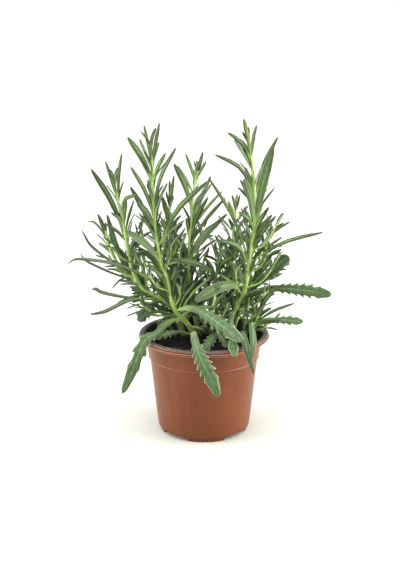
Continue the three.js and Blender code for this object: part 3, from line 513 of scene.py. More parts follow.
def wall_inside(z):
    """Inner radius of the pot at a height above the ridge, in millimetres."""
    if z < FLARE_Z:
        low, high, bottom, top = RIDGE_RADIUS, FLARE_RADIUS, RIDGE_Z, FLARE_Z
    else:
        low, high, bottom, top = FLARE_RADIUS, LIP_INNER, FLARE_Z, POT_HEIGHT
    return low + (high - low) * (z - bottom) / (top - bottom) - WALL


def soil_height(x, y):
    """Height of the soil's broad waves, in millimetres."""
    waves = math.sin(0.31 * x + 1.3) * math.cos(0.27 * y) + 0.6 * math.sin(0.19 * x - 0.43 * y)
    return SOIL_LEVEL + SOIL_ROUGHNESS * waves / 1.6


soil_edge = wall_inside(SOIL_LEVEL) - SOIL_GAP - 0.2
plug_bottom = floor_top + SOIL_GAP
plug_foot = BODY_FOOT - WALL - SOIL_GAP
outline = [(0, plug_bottom), (plug_foot - SOIL_CHAMFER, plug_bottom),
           (plug_foot, plug_bottom + SOIL_CHAMFER), (BODY_TOP - WALL - SOIL_GAP, RIDGE_Z - 1)]
outline += [(soil_edge * (1 - r / SOIL_RINGS), SOIL_LEVEL) for r in range(SOIL_RINGS + 1)]
bm = spin_outline(outline, SOIL_STEPS)
for vert in bm.verts:
    x, y, z = vert.co / MM
    if z > SOIL_LEVEL - 0.5:
        crumble = noise.noise(Vector((x, y, 0)) * 0.55) * 1.1 + noise.noise(Vector((x, y, 7)) * 1.3) * 0.6
        vert.co.z = (soil_height(x, y) + crumble) * MM
print("plug faces:", len(bm.faces))

# %% Strew crumbs
PEAT_SEED, CRUMB_COUNT, FIBRE_COUNT = 41, 760, 70
FIBRE_SIDES, FIBRE_ROWS, FIBRE_LIFT, FIBRE_SKIN = 4, 3, 1.2, 1
soil_draws = np.random.default_rng(PEAT_SEED)


def strewn_place(edge):
    """A place drawn evenly over the disc of soil, as far out as its edge, in millimetres."""
    away = edge * math.sqrt(soil_draws.uniform())
    return away, soil_draws.uniform(0, 2 * math.pi)


for _ in range(CRUMB_COUNT):
    away, turn = strewn_place(soil_edge - 2)
    x, y = away * math.cos(turn), away * math.sin(turn)
    size = 0.5 + 1.2 * soil_draws.uniform() ** 2
    spin = Matrix.Rotation(soil_draws.uniform(0, 6.28), 4, "Z")
    spin @= Matrix.Rotation(soil_draws.uniform(0, 6.28), 4, "X")
    squash = Matrix.Diagonal((1, soil_draws.uniform(0.6, 1), soil_draws.uniform(0.5, 0.9), 1))
    spot = Matrix.Translation(Vector((x, y, soil_height(x, y) + 0.35 * size + 0.3)) * MM)
    bmesh.ops.create_icosphere(bm, subdivisions=1, radius=size * MM, matrix=spot @ spin @ squash)

# %% Strew fibres and finish the soil
fibre = tube_blank(FIBRE_SIDES, FIBRE_ROWS)
corner_angles = fibre["corner"] * 2 * math.pi / FIBRE_SIDES
for _ in range(FIBRE_COUNT):
    away, turn = strewn_place(soil_edge - 8)
    aim = soil_draws.uniform(0, 2 * math.pi)
    length = soil_draws.uniform(3, 11)
    bend = soil_draws.uniform(-1.5, 1.5)
    thick = soil_draws.uniform(0.2, 0.45)
    points = []
    for row, angle in zip(fibre["row"], corner_angles):
        share = row / FIBRE_ROWS - 0.5
        side = bend * (1 - 4 * share * share) + thick * math.cos(angle)
        x = away * math.cos(turn) + length * share * math.cos(aim) - side * math.sin(aim)
        y = away * math.sin(turn) + length * share * math.sin(aim) + side * math.cos(aim)
        points.append(Vector((x, y, soil_height(x, y) + FIBRE_LIFT + thick * math.sin(angle))) * MM)
    before = len(bm.faces)
    lay_tube(bm, fibre, points)
    bm.faces.ensure_lookup_table()
    for face in bm.faces[before:]:
        face.material_index = FIBRE_SKIN
hang(bm, "peat", [peat, fibre_brown], "soil")

# %% [markdown]
# ## Plant
# The plant is twelve leafy stems. Each stem is a smooth line through a few points, and leaves stand on
# it in crossed pairs, each pair a quarter turn from the last. The leaves that show most in the picture
# are placed one by one. The rest follow the rule of growth, with seeded draws for length, turn and
# droop, and a leaf that would cut through another stem's leaf gives way sideways. The solid model was
# grown by this very rule, so the fine leaves stand where the solid ones are. Lengths in this part are
# millimetres.

# %% Sizes of stems and leaves
STEM_TIP_RADIUS, TAPER = 0.9, 1.5
# A leaf begins inside its stem, as deep as a share of the stem's radius, and ends in a blunt tip.
ROOT_DEPTH, ROOT_WIDTH, TIP_WIDTH, TIP_BLUNTNESS = 0.7, 1.2, 0.9, 2.4
# The share of its length at which a plain and a cut leaf are widest, and how a cut one gets there
WIDEST, WIDEST_CUT, CUT_RISE = 0.58, 0.7, 0.9
# The room kept from other stems' leaves, from the stem's own leaves and from the pot
CLEAR_OTHERS, CLEAR_OWN, CLEAR_POT = 2.2, 1.5, 1.2
# Spacing of the points that keep room, the share where a leaf's outer part begins, and their cells
SAMPLE_ALONG, SAMPLE_ACROSS, OUTER_PART, CELL = 1.5, 2.0, 0.3, 4.5
# The way that the face of a leaf turns as far as it shows
FRONT = np.array([0, -1, 0.3]) / math.sqrt(1.09)


def plain(at, tip, wide, bow, show=0.75):
    """A narrow leaf: its height on the stem, tip, width, bow, and how far it faces the front."""
    return dict(at=at, tip=tip, wide=wide, bow=bow, show=show, roll=0, via=[], teeth=0)


def arched(at, tip, wide, teeth, show, via):
    """A leaf that arches through way points to its tip, with a number of teeth along each edge."""
    return dict(at=at, tip=tip, wide=wide, bow=0, show=show, roll=0, via=via, teeth=teeth)


# %% Every leafy stem
SHOOTS = [
    dict(
        name="shoot_tall_left", radius=2.8,
        stem=[(-8, 13, 66), (-8, 13, 78), (-9, 13, 90), (-16, 10, 104), (-29, 6, 121), (-35, 4, 147),
            (-43, 2, 175), (-47, 0, 205), (-49, -2, 245), (-50, -3, 286)],
        leaves=[
            plain(250, (-71, -16, 294), 6.5, 3), plain(266, (-57, 6, 303), 3, 1),
            plain(262, (-62, 14, 289), 3.2, 1, -0.7), plain(270, (-50, -14, 292), 3, 1),
            plain(262, (-42, 4, 306), 3.6, 1), plain(250, (-36, -16, 279), 4, 2),
            plain(230, (-27, 12, 281), 4.2, 4, -0.7), plain(254, (-60, -18, 277), 3.2, 2),
            plain(216, (-69, -12, 266), 4.2, 3), plain(186, (3, -24, 254), 5.6, 7),
            plain(188, (-72, 16, 243), 5.6, 4),
            plain(205, (-63, -20, 233), 6.5, 3), plain(172, (-75, -18, 206), 6.5, 3, -0.7),
            plain(117, (-7, -10, 154), 4.4, 3), plain(115, (8, -16, 161), 3.2, 4),
            plain(113, (14, -22, 131), 4.4, 6),
            arched(109, (-78, -45, 55), 14.5, 4, 0.9,
                   [(-32, -3, 113.5), (-46, -23, 107), (-56.5, -35.5, 104), (-66, -41, 83)]),
            arched(95, (13.7, -72, 58.7), 16.5, 6, 0.95,
                   [(-10.5, -34, 109), (-8, -61, 107), (-3, -71.5, 96), (5, -73, 80)]),
            arched(120, (36, -67, 111.8), 16, 5, 0.85,
                   [(-13.7, -8, 127), (1, -25, 125.5), (17, -46, 120)]),
            arched(93, (-50.5, -43, 102.5), 9, 4, 0.6, [(-24, -10, 101), (-37, -29, 103.5)]),
            arched(138, (-134, 2, 168), 3.6, 0, 0.75,
                   [(-53, -4, 155), (-73, -6, 166), (-93, -5, 172), (-111, -2, 174), (-126, 0, 174)]),
        ],
        fill=dict(low=112, high=282, step=15, length=46, wide=4.8, open=34, turn=60, end=0.42, bare=48),
    ),
    dict(
        name="shoot_left", radius=2.3,
        stem=[(-20, 24, 66), (-20, 24, 78), (-21, 24, 90), (-27, 20, 110), (-38, 14, 126), (-49, 12, 134),
            (-60, 10, 141), (-70, 8, 158), (-75, 6, 185), (-79, 4, 213), (-83, 3, 230), (-86, 2, 250)],
        leaves=[
            plain(200, (-107, -6, 263), 5.7, 3), plain(234, (-95, 12, 268), 3.2, 1),
            plain(236, (-89, -10, 259), 3.6, 1), plain(228, (-79, 8, 276), 3.4, 2),
            plain(214, (-63, -10, 239), 3.8, 9), plain(178, (-66, -10, 195), 4.2, 2),
            plain(163, (-63, 18, 200), 3.2, 2),
            arched(129, (-110, -4, 144), 4, 0, 0.75, [(-78, 2, 135), (-99, -3, 141), (-106, -4, 145)]),
            arched(132, (-112, -14, 122), 4.4, 0, 0.75,
                   [(-69, -4, 134.5), (-81, -8, 131.5), (-98, -12, 124)]),
            plain(131, (-71, -4, 131), 3.4, 3),
            arched(131, (-66.5, 14, 106), 14, 4, 0.9, [(-54, 14, 121)]),
        ],
        fill=dict(low=104, high=246, step=15, length=44, wide=4.6, open=36, turn=20, end=0.42, bare=45),
    ),
    dict(
        name="shoot_far_left", radius=1.6,
        stem=[(-32, 32, 66), (-32, 32, 78), (-33, 32, 90), (-42, 31, 110), (-57, 29, 132), (-74, 27, 151),
            (-88, 25, 166), (-95, 24, 182), (-98, 24, 197)],
        leaves=[
            plain(188, (-105, 24, 214), 4.2, 1), plain(152, (-95, 12, 216), 5.5, 3, -0.75),
            arched(174, (-116, 34, 204), 2.4, 0, 0.75, [(-100, 28, 193), (-107, 31, 202), (-112, 33, 205)]),
            arched(154, (-120, 14, 200), 2.8, 0, 0.75, [(-93, 20, 167), (-106, 17, 178), (-114, 15, 187)]),
            arched(128, (-122, 10, 178), 2.6, 0, 0.75,
                   [(-71, 20, 146), (-94, 16, 157), (-107, 13, 164), (-117, 11, 170)]),
            plain(150, (-91, 44, 177), 4.2, 2),
            plain(143, (-88, 46, 160), 3.4, 2),
        ],
        fill=dict(low=108, high=194, step=15.5, length=31, wide=4, open=44, turn=70, end=0.45, bare=40),
    ),
    dict(
        name="shoot_middle", radius=2.1,
        stem=[(-6, 32, 66), (-6, 32, 78), (-6, 32, 90), (-10, 29, 112), (-14, 26, 137), (-15, 24, 168),
            (-14, 23, 190), (-12, 22, 213), (-11, 22, 232), (-6, 20, 258)],
        leaves=[
            plain(220, (-29, 10, 266), 6, 3), plain(235, (-26, 32, 261), 2.8, 1),
            plain(246, (-18, 30, 273), 3, 1), plain(240, (-1, 22, 276), 3.8, 1),
            plain(249, (-7, 36, 266), 3, 1), plain(249, (2, 10, 268), 3, 1),
            plain(195, (7, 32, 251), 4.6, 3, -0.75), plain(190, (4, 8, 234), 4.2, 3),
            plain(214, (9, 38, 243), 3, 2), plain(182, (21, 14, 232), 3.8, 3),
            plain(198, (18, 36, 235), 3, 2), plain(174, (17, 8, 212), 5.2, 3, -0.75),
            plain(168, (23, 22, 215), 5.2, 3, -0.75),
        ],
        fill=dict(low=106, high=254, step=15, length=44, wide=4.6, open=34, turn=10, end=0.42, bare=45),
    ),
    dict(
        name="shoot_tall_right", radius=2.5,
        stem=[(21, 14, 66), (21, 14, 78), (22, 14, 90), (30, 12, 118), (39, 10, 135), (43, 8, 155),
            (45, 6, 175), (49, 4, 206), (49, 2, 225), (47, 0, 255), (45, -1, 272), (42, -2, 292)],
        leaves=[
            plain(277, (37, -6, 310), 4.5, 1), plain(279, (50, 8, 303), 3, 1),
            plain(271, (22, -14, 298), 4, 4), plain(261, (29, 14, 289), 4.2, 2, -0.75),
            plain(234, (10, -18, 278), 4.2, 10), plain(205, (64, -20, 286), 8.6, 3),
            plain(235, (71, 16, 291), 4.4, 4), plain(212, (37, -22, 256), 7.6, 3),
            plain(234, (40, 14, 262), 4.2, 1), plain(221, (62, 14, 247), 3.8, 2),
            plain(203, (33, -8, 222), 4.2, 3), plain(199, (39, 20, 222), 3.4, 2),
            plain(195, (63, 8, 224), 4.2, 2), plain(197, (57, -18, 224), 3.8, 2),
            plain(171, (70, 6, 216), 4.2, 4), plain(169, (115, -6, 202), 4, 6),
            plain(171, (4, 2, 254), 3.6, 5), plain(167, (14, -16, 196), 5.2, 8),
            plain(133, (60, -8, 146), 3.6, 2), plain(115, (28, -8, 138), 3.6, 2),
            plain(147, (-9, -18, 139.5), 10.5, 6, 0.9),
            arched(117, (28.5, -75, 98), 10.5, 2, 0.95, [(27, -12, 122), (26, -38, 117), (27, -62, 106)]),
        ],
        fill=dict(low=108, high=288, step=15, length=46, wide=4.8, open=34, turn=55, end=0.42, bare=48),
    ),
    dict(
        name="shoot_right_back", radius=1.7,
        stem=[(30, 34, 66), (30, 34, 78), (31, 34, 90), (38, 33, 115), (48, 31, 136), (55, 29, 150),
            (58, 28, 164), (62, 27, 178), (65, 26, 192)],
        leaves=[
            plain(176, (79, 22, 206), 3.6, 5), plain(180, (68, 36, 201), 3.4, 1),
            plain(160, (77, 16, 180), 3.8, 3),
            arched(134, (84, 14, 174), 17, 4, 0.95, [(67, 21, 155)]),
            arched(132, (126, 0, 138), 15.5, 6, 0.95, [(70, 20, 139), (98, 10, 140)]),
        ],
        fill=dict(low=106, high=188, step=15, length=38, wide=4.4, open=44, turn=25, end=0.45, bare=0),
    ),
    dict(
        name="shoot_right_front", radius=1.6,
        stem=[(37, 2, 66), (37, 2, 78), (38, 2, 90), (44, 1, 100), (51, -1, 110), (55, -3, 121)],
        leaves=[
            arched(107, (98, -6, 112), 10.5, 4, 0.85, [(74, -4, 113)]), plain(117, (71, -8, 147), 4.4, 3),
            plain(110, (90, 4, 128), 3.2, 3),
            arched(109, (43.5, -66, 93), 6.5, 0, 0.7,
                   [(46.5, -22, 114.5), (46.5, -44, 112.5), (46, -60, 106.5)]),
            arched(99, (46.5, -70, 79), 7, 0, 0.6, [(38, -20, 106), (38, -44, 107.5), (41, -66, 98)]),
        ],
        fill=dict(low=97, high=118, step=10, length=30, wide=4.4, open=52, turn=80, end=0.7, bare=0),
    ),
    dict(
        name="shoot_inner_right", radius=1.5,
        stem=[(8, 25, 66), (8, 25, 78), (8, 25, 90), (10, 22, 115), (12, 20, 140), (13, 18, 160),
            (17, 16, 182)],
        leaves=[plain(155, (-32, 3, 173), 6.5, 4), plain(157, (29, 6, 175), 4.4, 3)],
        fill=dict(low=98, high=178, step=13, length=38, wide=5, open=52, turn=40, end=0.5, bare=0),
    ),
    dict(
        name="shoot_inner_left", radius=1.5,
        stem=[(-26, 40, 66), (-26, 40, 78), (-26, 40, 90), (-30, 40, 120), (-33, 38, 160), (-35, 36, 195),
            (-34, 35, 222)],
        leaves=[
            plain(214, (-34, 34, 246), 3.6, 1), plain(212, (-30, 38, 250), 3.2, 1),
            plain(192, (-42, 28, 232), 5, 3),
        ],
        fill=dict(low=104, high=218, step=15.5, length=38, wide=4.6, open=40, turn=35, end=0.45, bare=0),
    ),
    dict(
        name="shoot_front", radius=1.5,
        stem=[(8, -6, 66), (8, -6, 78), (8, -6, 90), (8, -9, 104), (9, -12, 122), (11, -14, 142)],
        leaves=[],
        fill=dict(low=97, high=138, step=10, length=34, wide=5.4, open=56, turn=15, end=0.6, bare=0),
    ),
    dict(
        name="shoot_back_left", radius=1.7,
        stem=[(-16, 46, 66), (-16, 46, 78), (-16, 46, 90), (-22, 50, 115), (-30, 55, 145), (-36, 58, 178),
            (-38, 59, 206)],
        leaves=[],
        fill=dict(low=102, high=202, step=14, length=44, wide=5, open=46, turn=0, end=0.45, bare=0),
    ),
    dict(
        name="shoot_back_right", radius=1.7,
        stem=[(16, 44, 66), (16, 44, 78), (16, 44, 90), (20, 49, 118), (26, 54, 150), (31, 57, 185),
            (33, 58, 214)],
        leaves=[],
        fill=dict(low=102, high=210, step=14, length=44, wide=5, open=46, turn=45, end=0.45, bare=0),
    ),
]
print("leafy stems:", len(SHOOTS), "with", sum(len(shoot["leaves"]) for shoot in SHOOTS), "leaves by hand")

# %% [markdown]
# The lines are Catmull-Rom splines, which pass through their points. Written for whole lists of places
# at once, they are quick enough to test thousands of possible leaves.

# %% Smooth lines
def unit(vectors):
    """Vectors of length 1 in the same directions."""
    return vectors / np.linalg.norm(vectors, axis=-1, keepdims=True)


def along(points, t):
    """Places on a smooth line through the points, at shares t of the way."""
    last = len(points) - 1
    place = np.clip(np.atleast_1d(t), 0, 1) * last
    i = np.minimum(np.floor(place), last - 1).astype(int)
    u = (place - i)[:, None]
    p0, p1 = points[np.maximum(i - 1, 0)], points[i]
    p2, p3 = points[i + 1], points[np.minimum(i + 2, last)]
    return 0.5 * (2 * p1 + (p2 - p0) * u + (2 * p0 - 5 * p1 + 4 * p2 - p3) * u ** 2
                  + (3 * p1 - p0 - 3 * p2 + p3) * u ** 3)


def heading(points, t):
    """The direction of a smooth line at shares t of the way."""
    t = np.atleast_1d(t)
    return unit(along(points, t + 0.01) - along(points, t - 0.01))


def length_of(points):
    """Length of the straight stretches between points."""
    return float(np.linalg.norm(np.diff(points, axis=0), axis=1).sum())


def stem_at(line, z):
    """The share of the way up a stem at which it reaches a height."""
    low, high = 0.0, 1.0
    for _ in range(24):
        middle = (low + high) / 2
        if along(line, middle)[0, 2] < z:
            low = middle
        else:
            high = middle
    return (low + high) / 2


def stem_radius(shoot, t):
    """Radius of a tapering stem at a share of its length."""
    return shoot["radius"] + (STEM_TIP_RADIUS - shoot["radius"]) * t ** TAPER


def turned(vector, axis, degrees):
    """A vector turned about an axis."""
    angle = math.radians(degrees)
    return (vector * math.cos(angle) + np.cross(axis, vector) * math.sin(angle)
            + axis * (axis @ vector) * (1 - math.cos(angle)))


# %% [markdown]
# A leaf widens from a narrow base to its widest place past the middle, and ends in a blunt tip. Its path
# runs from inside the stem over a bow to the tip.

# %% Outline and path of a leaf
def blade_shape(leaf, t):
    """Share of its full width that a leaf has at shares t of its length."""
    widest = WIDEST_CUT if leaf["teeth"] else WIDEST
    rise = np.minimum(t, widest) / widest
    rising = rise ** CUT_RISE if leaf["teeth"] else np.sin(np.pi / 2 * rise)
    past = np.maximum(t - widest, 0) / (1 - widest)
    return np.where(t < widest, rising, np.sqrt(np.maximum(1 - past ** TIP_BLUNTNESS, 0)))


def blade_width(leaf, t, tip=TIP_WIDTH):
    """Full width of a leaf at shares t of its length, in millimetres."""
    shape = blade_shape(leaf, t)
    rounded = ROOT_WIDTH + (leaf["wide"] - ROOT_WIDTH) * shape
    widest = WIDEST_CUT if leaf["teeth"] else WIDEST
    return np.where(t > widest, np.maximum(leaf["wide"] * shape, tip), rounded)


def blade_frame(leaf, t):
    """Forward, across and upward directions of a leaf at shares t of its length."""
    forward = heading(leaf["path"], t)
    across = unit(leaf["across"] - forward * (forward @ leaf["across"])[:, None])
    return forward, across, np.cross(forward, across)


def lay_path(leaf, middle, sunk, axis, tip):
    """The leaf with its path from the middle of its stem to its tip, and its across direction."""
    out = tip - middle
    out = unit(out - axis * (axis @ out))
    root = middle + out * sunk
    chord = tip - root
    rise = unit(axis - chord * (axis @ chord) / (chord @ chord))
    shift = tip - np.array(leaf["tip"], float)
    spans = len(leaf["via"]) + 1
    via = [np.array(p, float) + shift * (i + 1) / spans for i, p in enumerate(leaf["via"])]
    between = via or [root + chord * 0.5 + rise * leaf["bow"]]
    natural = turned(unit(np.cross(axis, chord)), unit(chord), leaf["roll"])
    to_front = unit(np.cross(FRONT, chord))
    across = unit(natural * (1 - abs(leaf["show"])) + to_front * leaf["show"])
    return {**leaf, "path": np.array([root, *between, tip]), "across": across}


# %% [markdown]
# Room is kept by points spread over every stem and leaf. They are filed in cubic cells, so a new leaf is
# only compared with what lies near it.

# %% Room between leaves
NEIGHBOURS = [(i, j, k) for i in (-1, 0, 1) for j in (-1, 0, 1) for k in (-1, 0, 1)]
MOST_POINTS = 300000
# A taken point is its place, whether it is in a leaf's outer part, its radius and its stem's number.
taken = np.empty((MOST_POINTS, 6))
taken_count = 0
cells = {}


def take(points, outer, radius, shoot):
    """Files points as taken, with whether they are in a leaf's outer part, and their radius."""
    global taken_count
    for point, far, thick in zip(points, outer, radius):
        taken[taken_count] = (*point, far, thick, shoot["number"])
        cells.setdefault(tuple(np.floor(point / CELL).astype(int)), []).append(taken_count)
        taken_count += 1


def blade_samples(leaf):
    """Points over a leaf, and whether each is in its outer part."""
    rows = math.ceil(length_of(leaf["path"]) / SAMPLE_ALONG)
    t = np.arange(rows + 1) / rows
    middle, wide, across = along(leaf["path"], t), blade_width(leaf, t), blade_frame(leaf, t)[1]
    points, outer = [], []
    for r in range(rows + 1):
        columns = math.ceil(wide[r] / SAMPLE_ACROSS)
        for c in range(columns + 1):
            points.append(middle[r] + across[r] * wide[r] * (c / columns - 0.5))
            outer.append(t[r] > OUTER_PART)
    return np.array(points), np.array(outer)


def meets_pot(points):
    """Whether points lie in or close to the pot or the soil."""
    radius, z = np.hypot(points[:, 0], points[:, 1]), points[:, 2]
    away = (z > POT_HEIGHT + CLEAR_POT) | (radius > LIP_RADIUS + CLEAR_POT)
    walls = np.array([wall_inside(height) for height in z])
    return ~away & ((z < SOIL_LEVEL + SOIL_ROUGHNESS + CLEAR_POT) | (radius > walls - CLEAR_POT))


def has_room(points, outer, shoot, clear_others, clear_own):
    """Whether points keep clear of the pot, of other stems and of the leaves of their own stem."""
    if (outer & meets_pot(points)).any():
        return False
    near = set()
    for cell in set(map(tuple, np.floor(points / CELL).astype(int))):
        for i, j, k in NEIGHBOURS:
            near.update(cells.get((cell[0] + i, cell[1] + j, cell[2] + k), ()))
    if not near:
        return True
    others = taken[sorted(near)]
    gap = np.linalg.norm(points[:, None] - others[None, :, :3], axis=2)
    foreign = others[:, 5] != shoot["number"]
    own = ~foreign & (others[:, 4] == 0) & (others[:, 3] > 0)
    meets = (foreign & (gap < clear_others + others[:, 4])) | (own & outer[:, None] & (gap < clear_own))
    return not meets.any()


# %% [markdown]
# A shown leaf may give way in depth, where the picture hides it, and a leaf of a pair may swing and tilt.
# The first tip that has room is taken. The draws come from a small generator that gives the same numbers
# in any language, in a fixed order.

# %% Placing leaves
DRAW_FACTOR, DRAW_RANGE = 16807, 2 ** 31 - 1
GIVE_WAY = (0, -5, 5, -10, 10, -15, 15, -21, 21, -28, 28)
PAIR_TILTS, PAIR_SWINGS = (0, -10, 12), (0, 14, -14, 28, -28, 42, -42)
draw_state = 20260


def draw(low, high):
    """The next seeded number between two limits."""
    global draw_state
    draw_state = draw_state * DRAW_FACTOR % DRAW_RANGE
    return low + (high - low) * draw_state / DRAW_RANGE


def place_leaf(shoot, leaf, line, t, tips, thick, clear_others=CLEAR_OTHERS, clear_own=CLEAR_OWN):
    """Takes the first of the offered tips that leaves its neighbours clear, on a line of some radius."""
    middle, axis = along(line, t)[0], heading(line, t)[0]
    for tip in tips:
        laid = lay_path(leaf, middle, (1 - ROOT_DEPTH) * thick, axis, tip)
        points, outer = blade_samples(laid)
        if has_room(points, outer, shoot, clear_others, clear_own):
            take(points, outer, np.zeros(len(points)), shoot)
            shoot["placed"].append(laid)
            return


def place_shown(shoot, leaf, clear_others=CLEAR_OTHERS, clear_own=CLEAR_OWN):
    """A listed leaf, which may give way in depth."""
    t = stem_at(shoot["line"], leaf["at"])
    tips = [np.array(leaf["tip"], float) + (0, shift, 0) for shift in GIVE_WAY]
    place_leaf(shoot, leaf, shoot["line"], t, tips, stem_radius(shoot, t), clear_others, clear_own)


def hides_stem(shoot, out):
    """Whether a leaf in this direction would stand on the bare front of its stem."""
    bare = shoot["fill"]["bare"]
    return bare > 0 and -out[1] > math.cos(math.radians(bare))


def spray(line, t, around, tilt, reach):
    """A tip at a reach from a line, turned round it and tilted from it, with its root and directions."""
    root, axis = along(line, t)[0], heading(line, t)[0]
    out = turned(unit(np.array([1, 0, 0]) - axis * axis[0]), axis, around)
    lean = math.radians(tilt)
    return root + axis * reach * math.cos(lean) + out * reach * math.sin(lean), root, axis, out


def offered_tips(shoot, line, t, around, tilt, reach, tilts, swings, fits=None):
    """Tips round the wished one, the wished one first, that fit and don't hide the stem."""
    tips = []
    for more in tilts:
        for swing in swings:
            tip, root, axis, out = spray(line, t, around + swing, tilt + more, reach)
            if not hides_stem(shoot, out) and (fits is None or fits(tip)):
                tips.append(tip)
    return tips


def pair_shares(fill):
    """The shares of a stem's leafy length at which its leaf pairs stand."""
    pairs = int((fill["high"] - fill["low"]) / fill["step"] + 0.5)
    return [p / pairs for p in range(pairs + 1)]


def height_at(fill, share):
    """The height at a share of a stem's leafy length."""
    return fill["low"] + (fill["high"] - fill["low"]) * share


def place_pairs(shoot):
    """The crossed pairs of one stem, by the rule of growth."""
    fill = shoot["fill"]
    for p, share in enumerate(pair_shares(fill)):
        t = stem_at(shoot["line"], height_at(fill, share))
        for half in (0, 1):
            size = draw(0.85, 1.15) * (1 - (1 - fill["end"]) * share ** TAPER)
            around = fill["turn"] + 90 * p + 180 * half + draw(-14, 14)
            spread = fill["open"] * (1 - 0.45 * share) + draw(-6, 6)
            reach = fill["length"] * size
            leaf = dict(wide=fill["wide"] * (0.55 + 0.45 * size) * draw(0.85, 1.15),
                        bow=reach * draw(0.03, 0.13), roll=draw(-50, 50), show=0, via=[], teeth=0)
            tips = offered_tips(shoot, shoot["line"], t, around, spread, reach, PAIR_TILTS, PAIR_SWINGS)
            if tips:
                place_leaf(shoot, dict(leaf, tip=tips[0]), shoot["line"], t, tips, stem_radius(shoot, t))


# %% Grow the leaves of the solid model
for number, shoot in enumerate(SHOOTS):
    shoot["number"] = number
    shoot["line"] = np.array(shoot["stem"], float)
    shoot["placed"] = []
    steps = math.ceil(length_of(shoot["line"]) / SAMPLE_ALONG)
    t = np.arange(steps + 1) / steps
    take(along(shoot["line"], t), np.ones(steps + 1), stem_radius(shoot, t), shoot)
for shoot in SHOOTS:
    for leaf in shoot["leaves"]:
        place_shown(shoot, leaf)
for shoot in SHOOTS:
    place_pairs(shoot)
print("leaves of the solid model:", [len(shoot["placed"]) for shoot in SHOOTS])

# %% [markdown]
# The solid model has only as many leaves as its faces allow. The real stems carry more: leafy side twigs
# in their lower half, smaller leaves in the angles of the older ones, and a tight bunch at every growing
# point. They follow the same rule and keep clear of what is there.

# %% Leaves low over the soil
LOW_CLEAR_OTHERS, LOW_CLEAR_OWN = 1.2, 0.9
LOW_LEAVES = {
    "shoot_left": [arched(101, (-24.5, -42, 96.5), 6.5, 3, 0.6, [(-35, -4, 107.5)]),
                   arched(98, (-47, 6, 101), 6, 3, 0.5, [(-36, 14, 108)])],
    "shoot_front": [arched(96, (-1, -48, 95.8), 11, 4, 0.7, [(9, -27, 103.5)]),
                    arched(99, (22, -44, 98), 8, 4, 0.7, [(14, -26, 106)])],
    "shoot_right_front": [arched(96, (52, -16, 106), 7, 4, 0.5, [(46, -8, 108)])],
}
for shoot in SHOOTS:
    for leaf in LOW_LEAVES.get(shoot["name"], []):
        place_shown(shoot, leaf, LOW_CLEAR_OTHERS, LOW_CLEAR_OWN)

# %% Side twigs
BOX_LOW, BOX_HIGH = np.array(solid_box[0]) / MM, np.array(solid_box[1]) / MM
BOX_ROOM = np.array([3, 5, 1])
SPROUT_TILTS, SPROUT_SWINGS = (0, -9, 9), (0, 13, -13, 26, -26)
SPROUT_SEAT, SPROUT_CLEAR_OWN = 1.0, 0.9
TWIG_RADIUS, TWIG_STEP, TWIG_SHARE, TWIG_TOP = 1.0, 8, 0.6, 200
TWIG_TILT, TWIG_SWINGS = 40, (0, 30, -30, 60, -60)
TWIG_CLEAR_OTHERS, TWIG_CLEAR_OWN, TWIG_LEAF_CLEAR = 1.3, 0.8, 0.9
# The turn from one twig to the next, and the spacing of the leaf pairs on a twig
SPIRAL_TURN, KNOT_STEP = 137.5, 8


def inside_box(tip):
    """Whether the tip of an extra leaf keeps well inside the solid model's box."""
    return bool(np.all(tip > BOX_LOW + BOX_ROOM) and np.all(tip < BOX_HIGH - BOX_ROOM))


def place_sprout(shoot, line, t, around, tilt, reach, wide, bow, clear):
    """One extra leaf, by its place on a line, its turn round it and its tilt from it."""
    leaf = dict(wide=wide, bow=bow, roll=draw(-40, 40), show=0, via=[], teeth=0)
    tips = offered_tips(shoot, line, t, around, tilt, reach, SPROUT_TILTS, SPROUT_SWINGS, inside_box)
    if tips:
        place_leaf(shoot, dict(leaf, tip=tips[0]), line, t, tips, SPROUT_SEAT, clear,
                   min(clear, SPROUT_CLEAR_OWN))


def grow_twig(shoot, t, around, reach):
    """A side twig that leaves the stem sideways and turns upwards, where there is room for it."""
    for swing in TWIG_SWINGS:
        tip, root, axis, out = spray(shoot["line"], t, around + swing, TWIG_TILT, reach)
        if hides_stem(shoot, out) or not inside_box(tip):
            continue
        bend = root + out * reach * 0.4 + axis * reach * 0.3
        line = np.array([root, bend, tip + np.array([0, 0, reach * 0.12])])
        points = along(line, np.linspace(0.15, 1, math.ceil(reach / SAMPLE_ALONG)))
        outer = np.ones(len(points), bool)
        if has_room(points, outer, shoot, TWIG_CLEAR_OTHERS, TWIG_CLEAR_OWN):
            take(points, outer, np.zeros(len(points)), shoot)
            shoot["twigs"].append(line)
            return line
    return None


for shoot in SHOOTS:
    shoot["twigs"] = []
    fill = shoot["fill"]
    rise = min(height_at(fill, TWIG_SHARE), TWIG_TOP) - fill["low"]
    count = max(3, round(rise / TWIG_STEP))
    for k in range(count):
        t = stem_at(shoot["line"], fill["low"] - 4 + rise * k / count)
        reach = fill["length"] * draw(0.5, 1.0) * (1 - 0.35 * k / count)
        line = grow_twig(shoot, t, fill["turn"] + SPIRAL_TURN * k, reach)
        if line is None:
            continue
        knots = max(2, round(length_of(line) / KNOT_STEP))
        for n in range(1, knots + 1):
            for half in (0, 1):
                place_sprout(shoot, line, 0.96 * n / knots, 90 * n + 180 * half + draw(-15, 15),
                             draw(20, 46), draw(15, 30) * (1 - 0.3 * n / knots), draw(2.8, 4.2),
                             draw(0.5, 2.5), TWIG_LEAF_CLEAR)
print("side twigs:", sum(len(shoot["twigs"]) for shoot in SHOOTS))

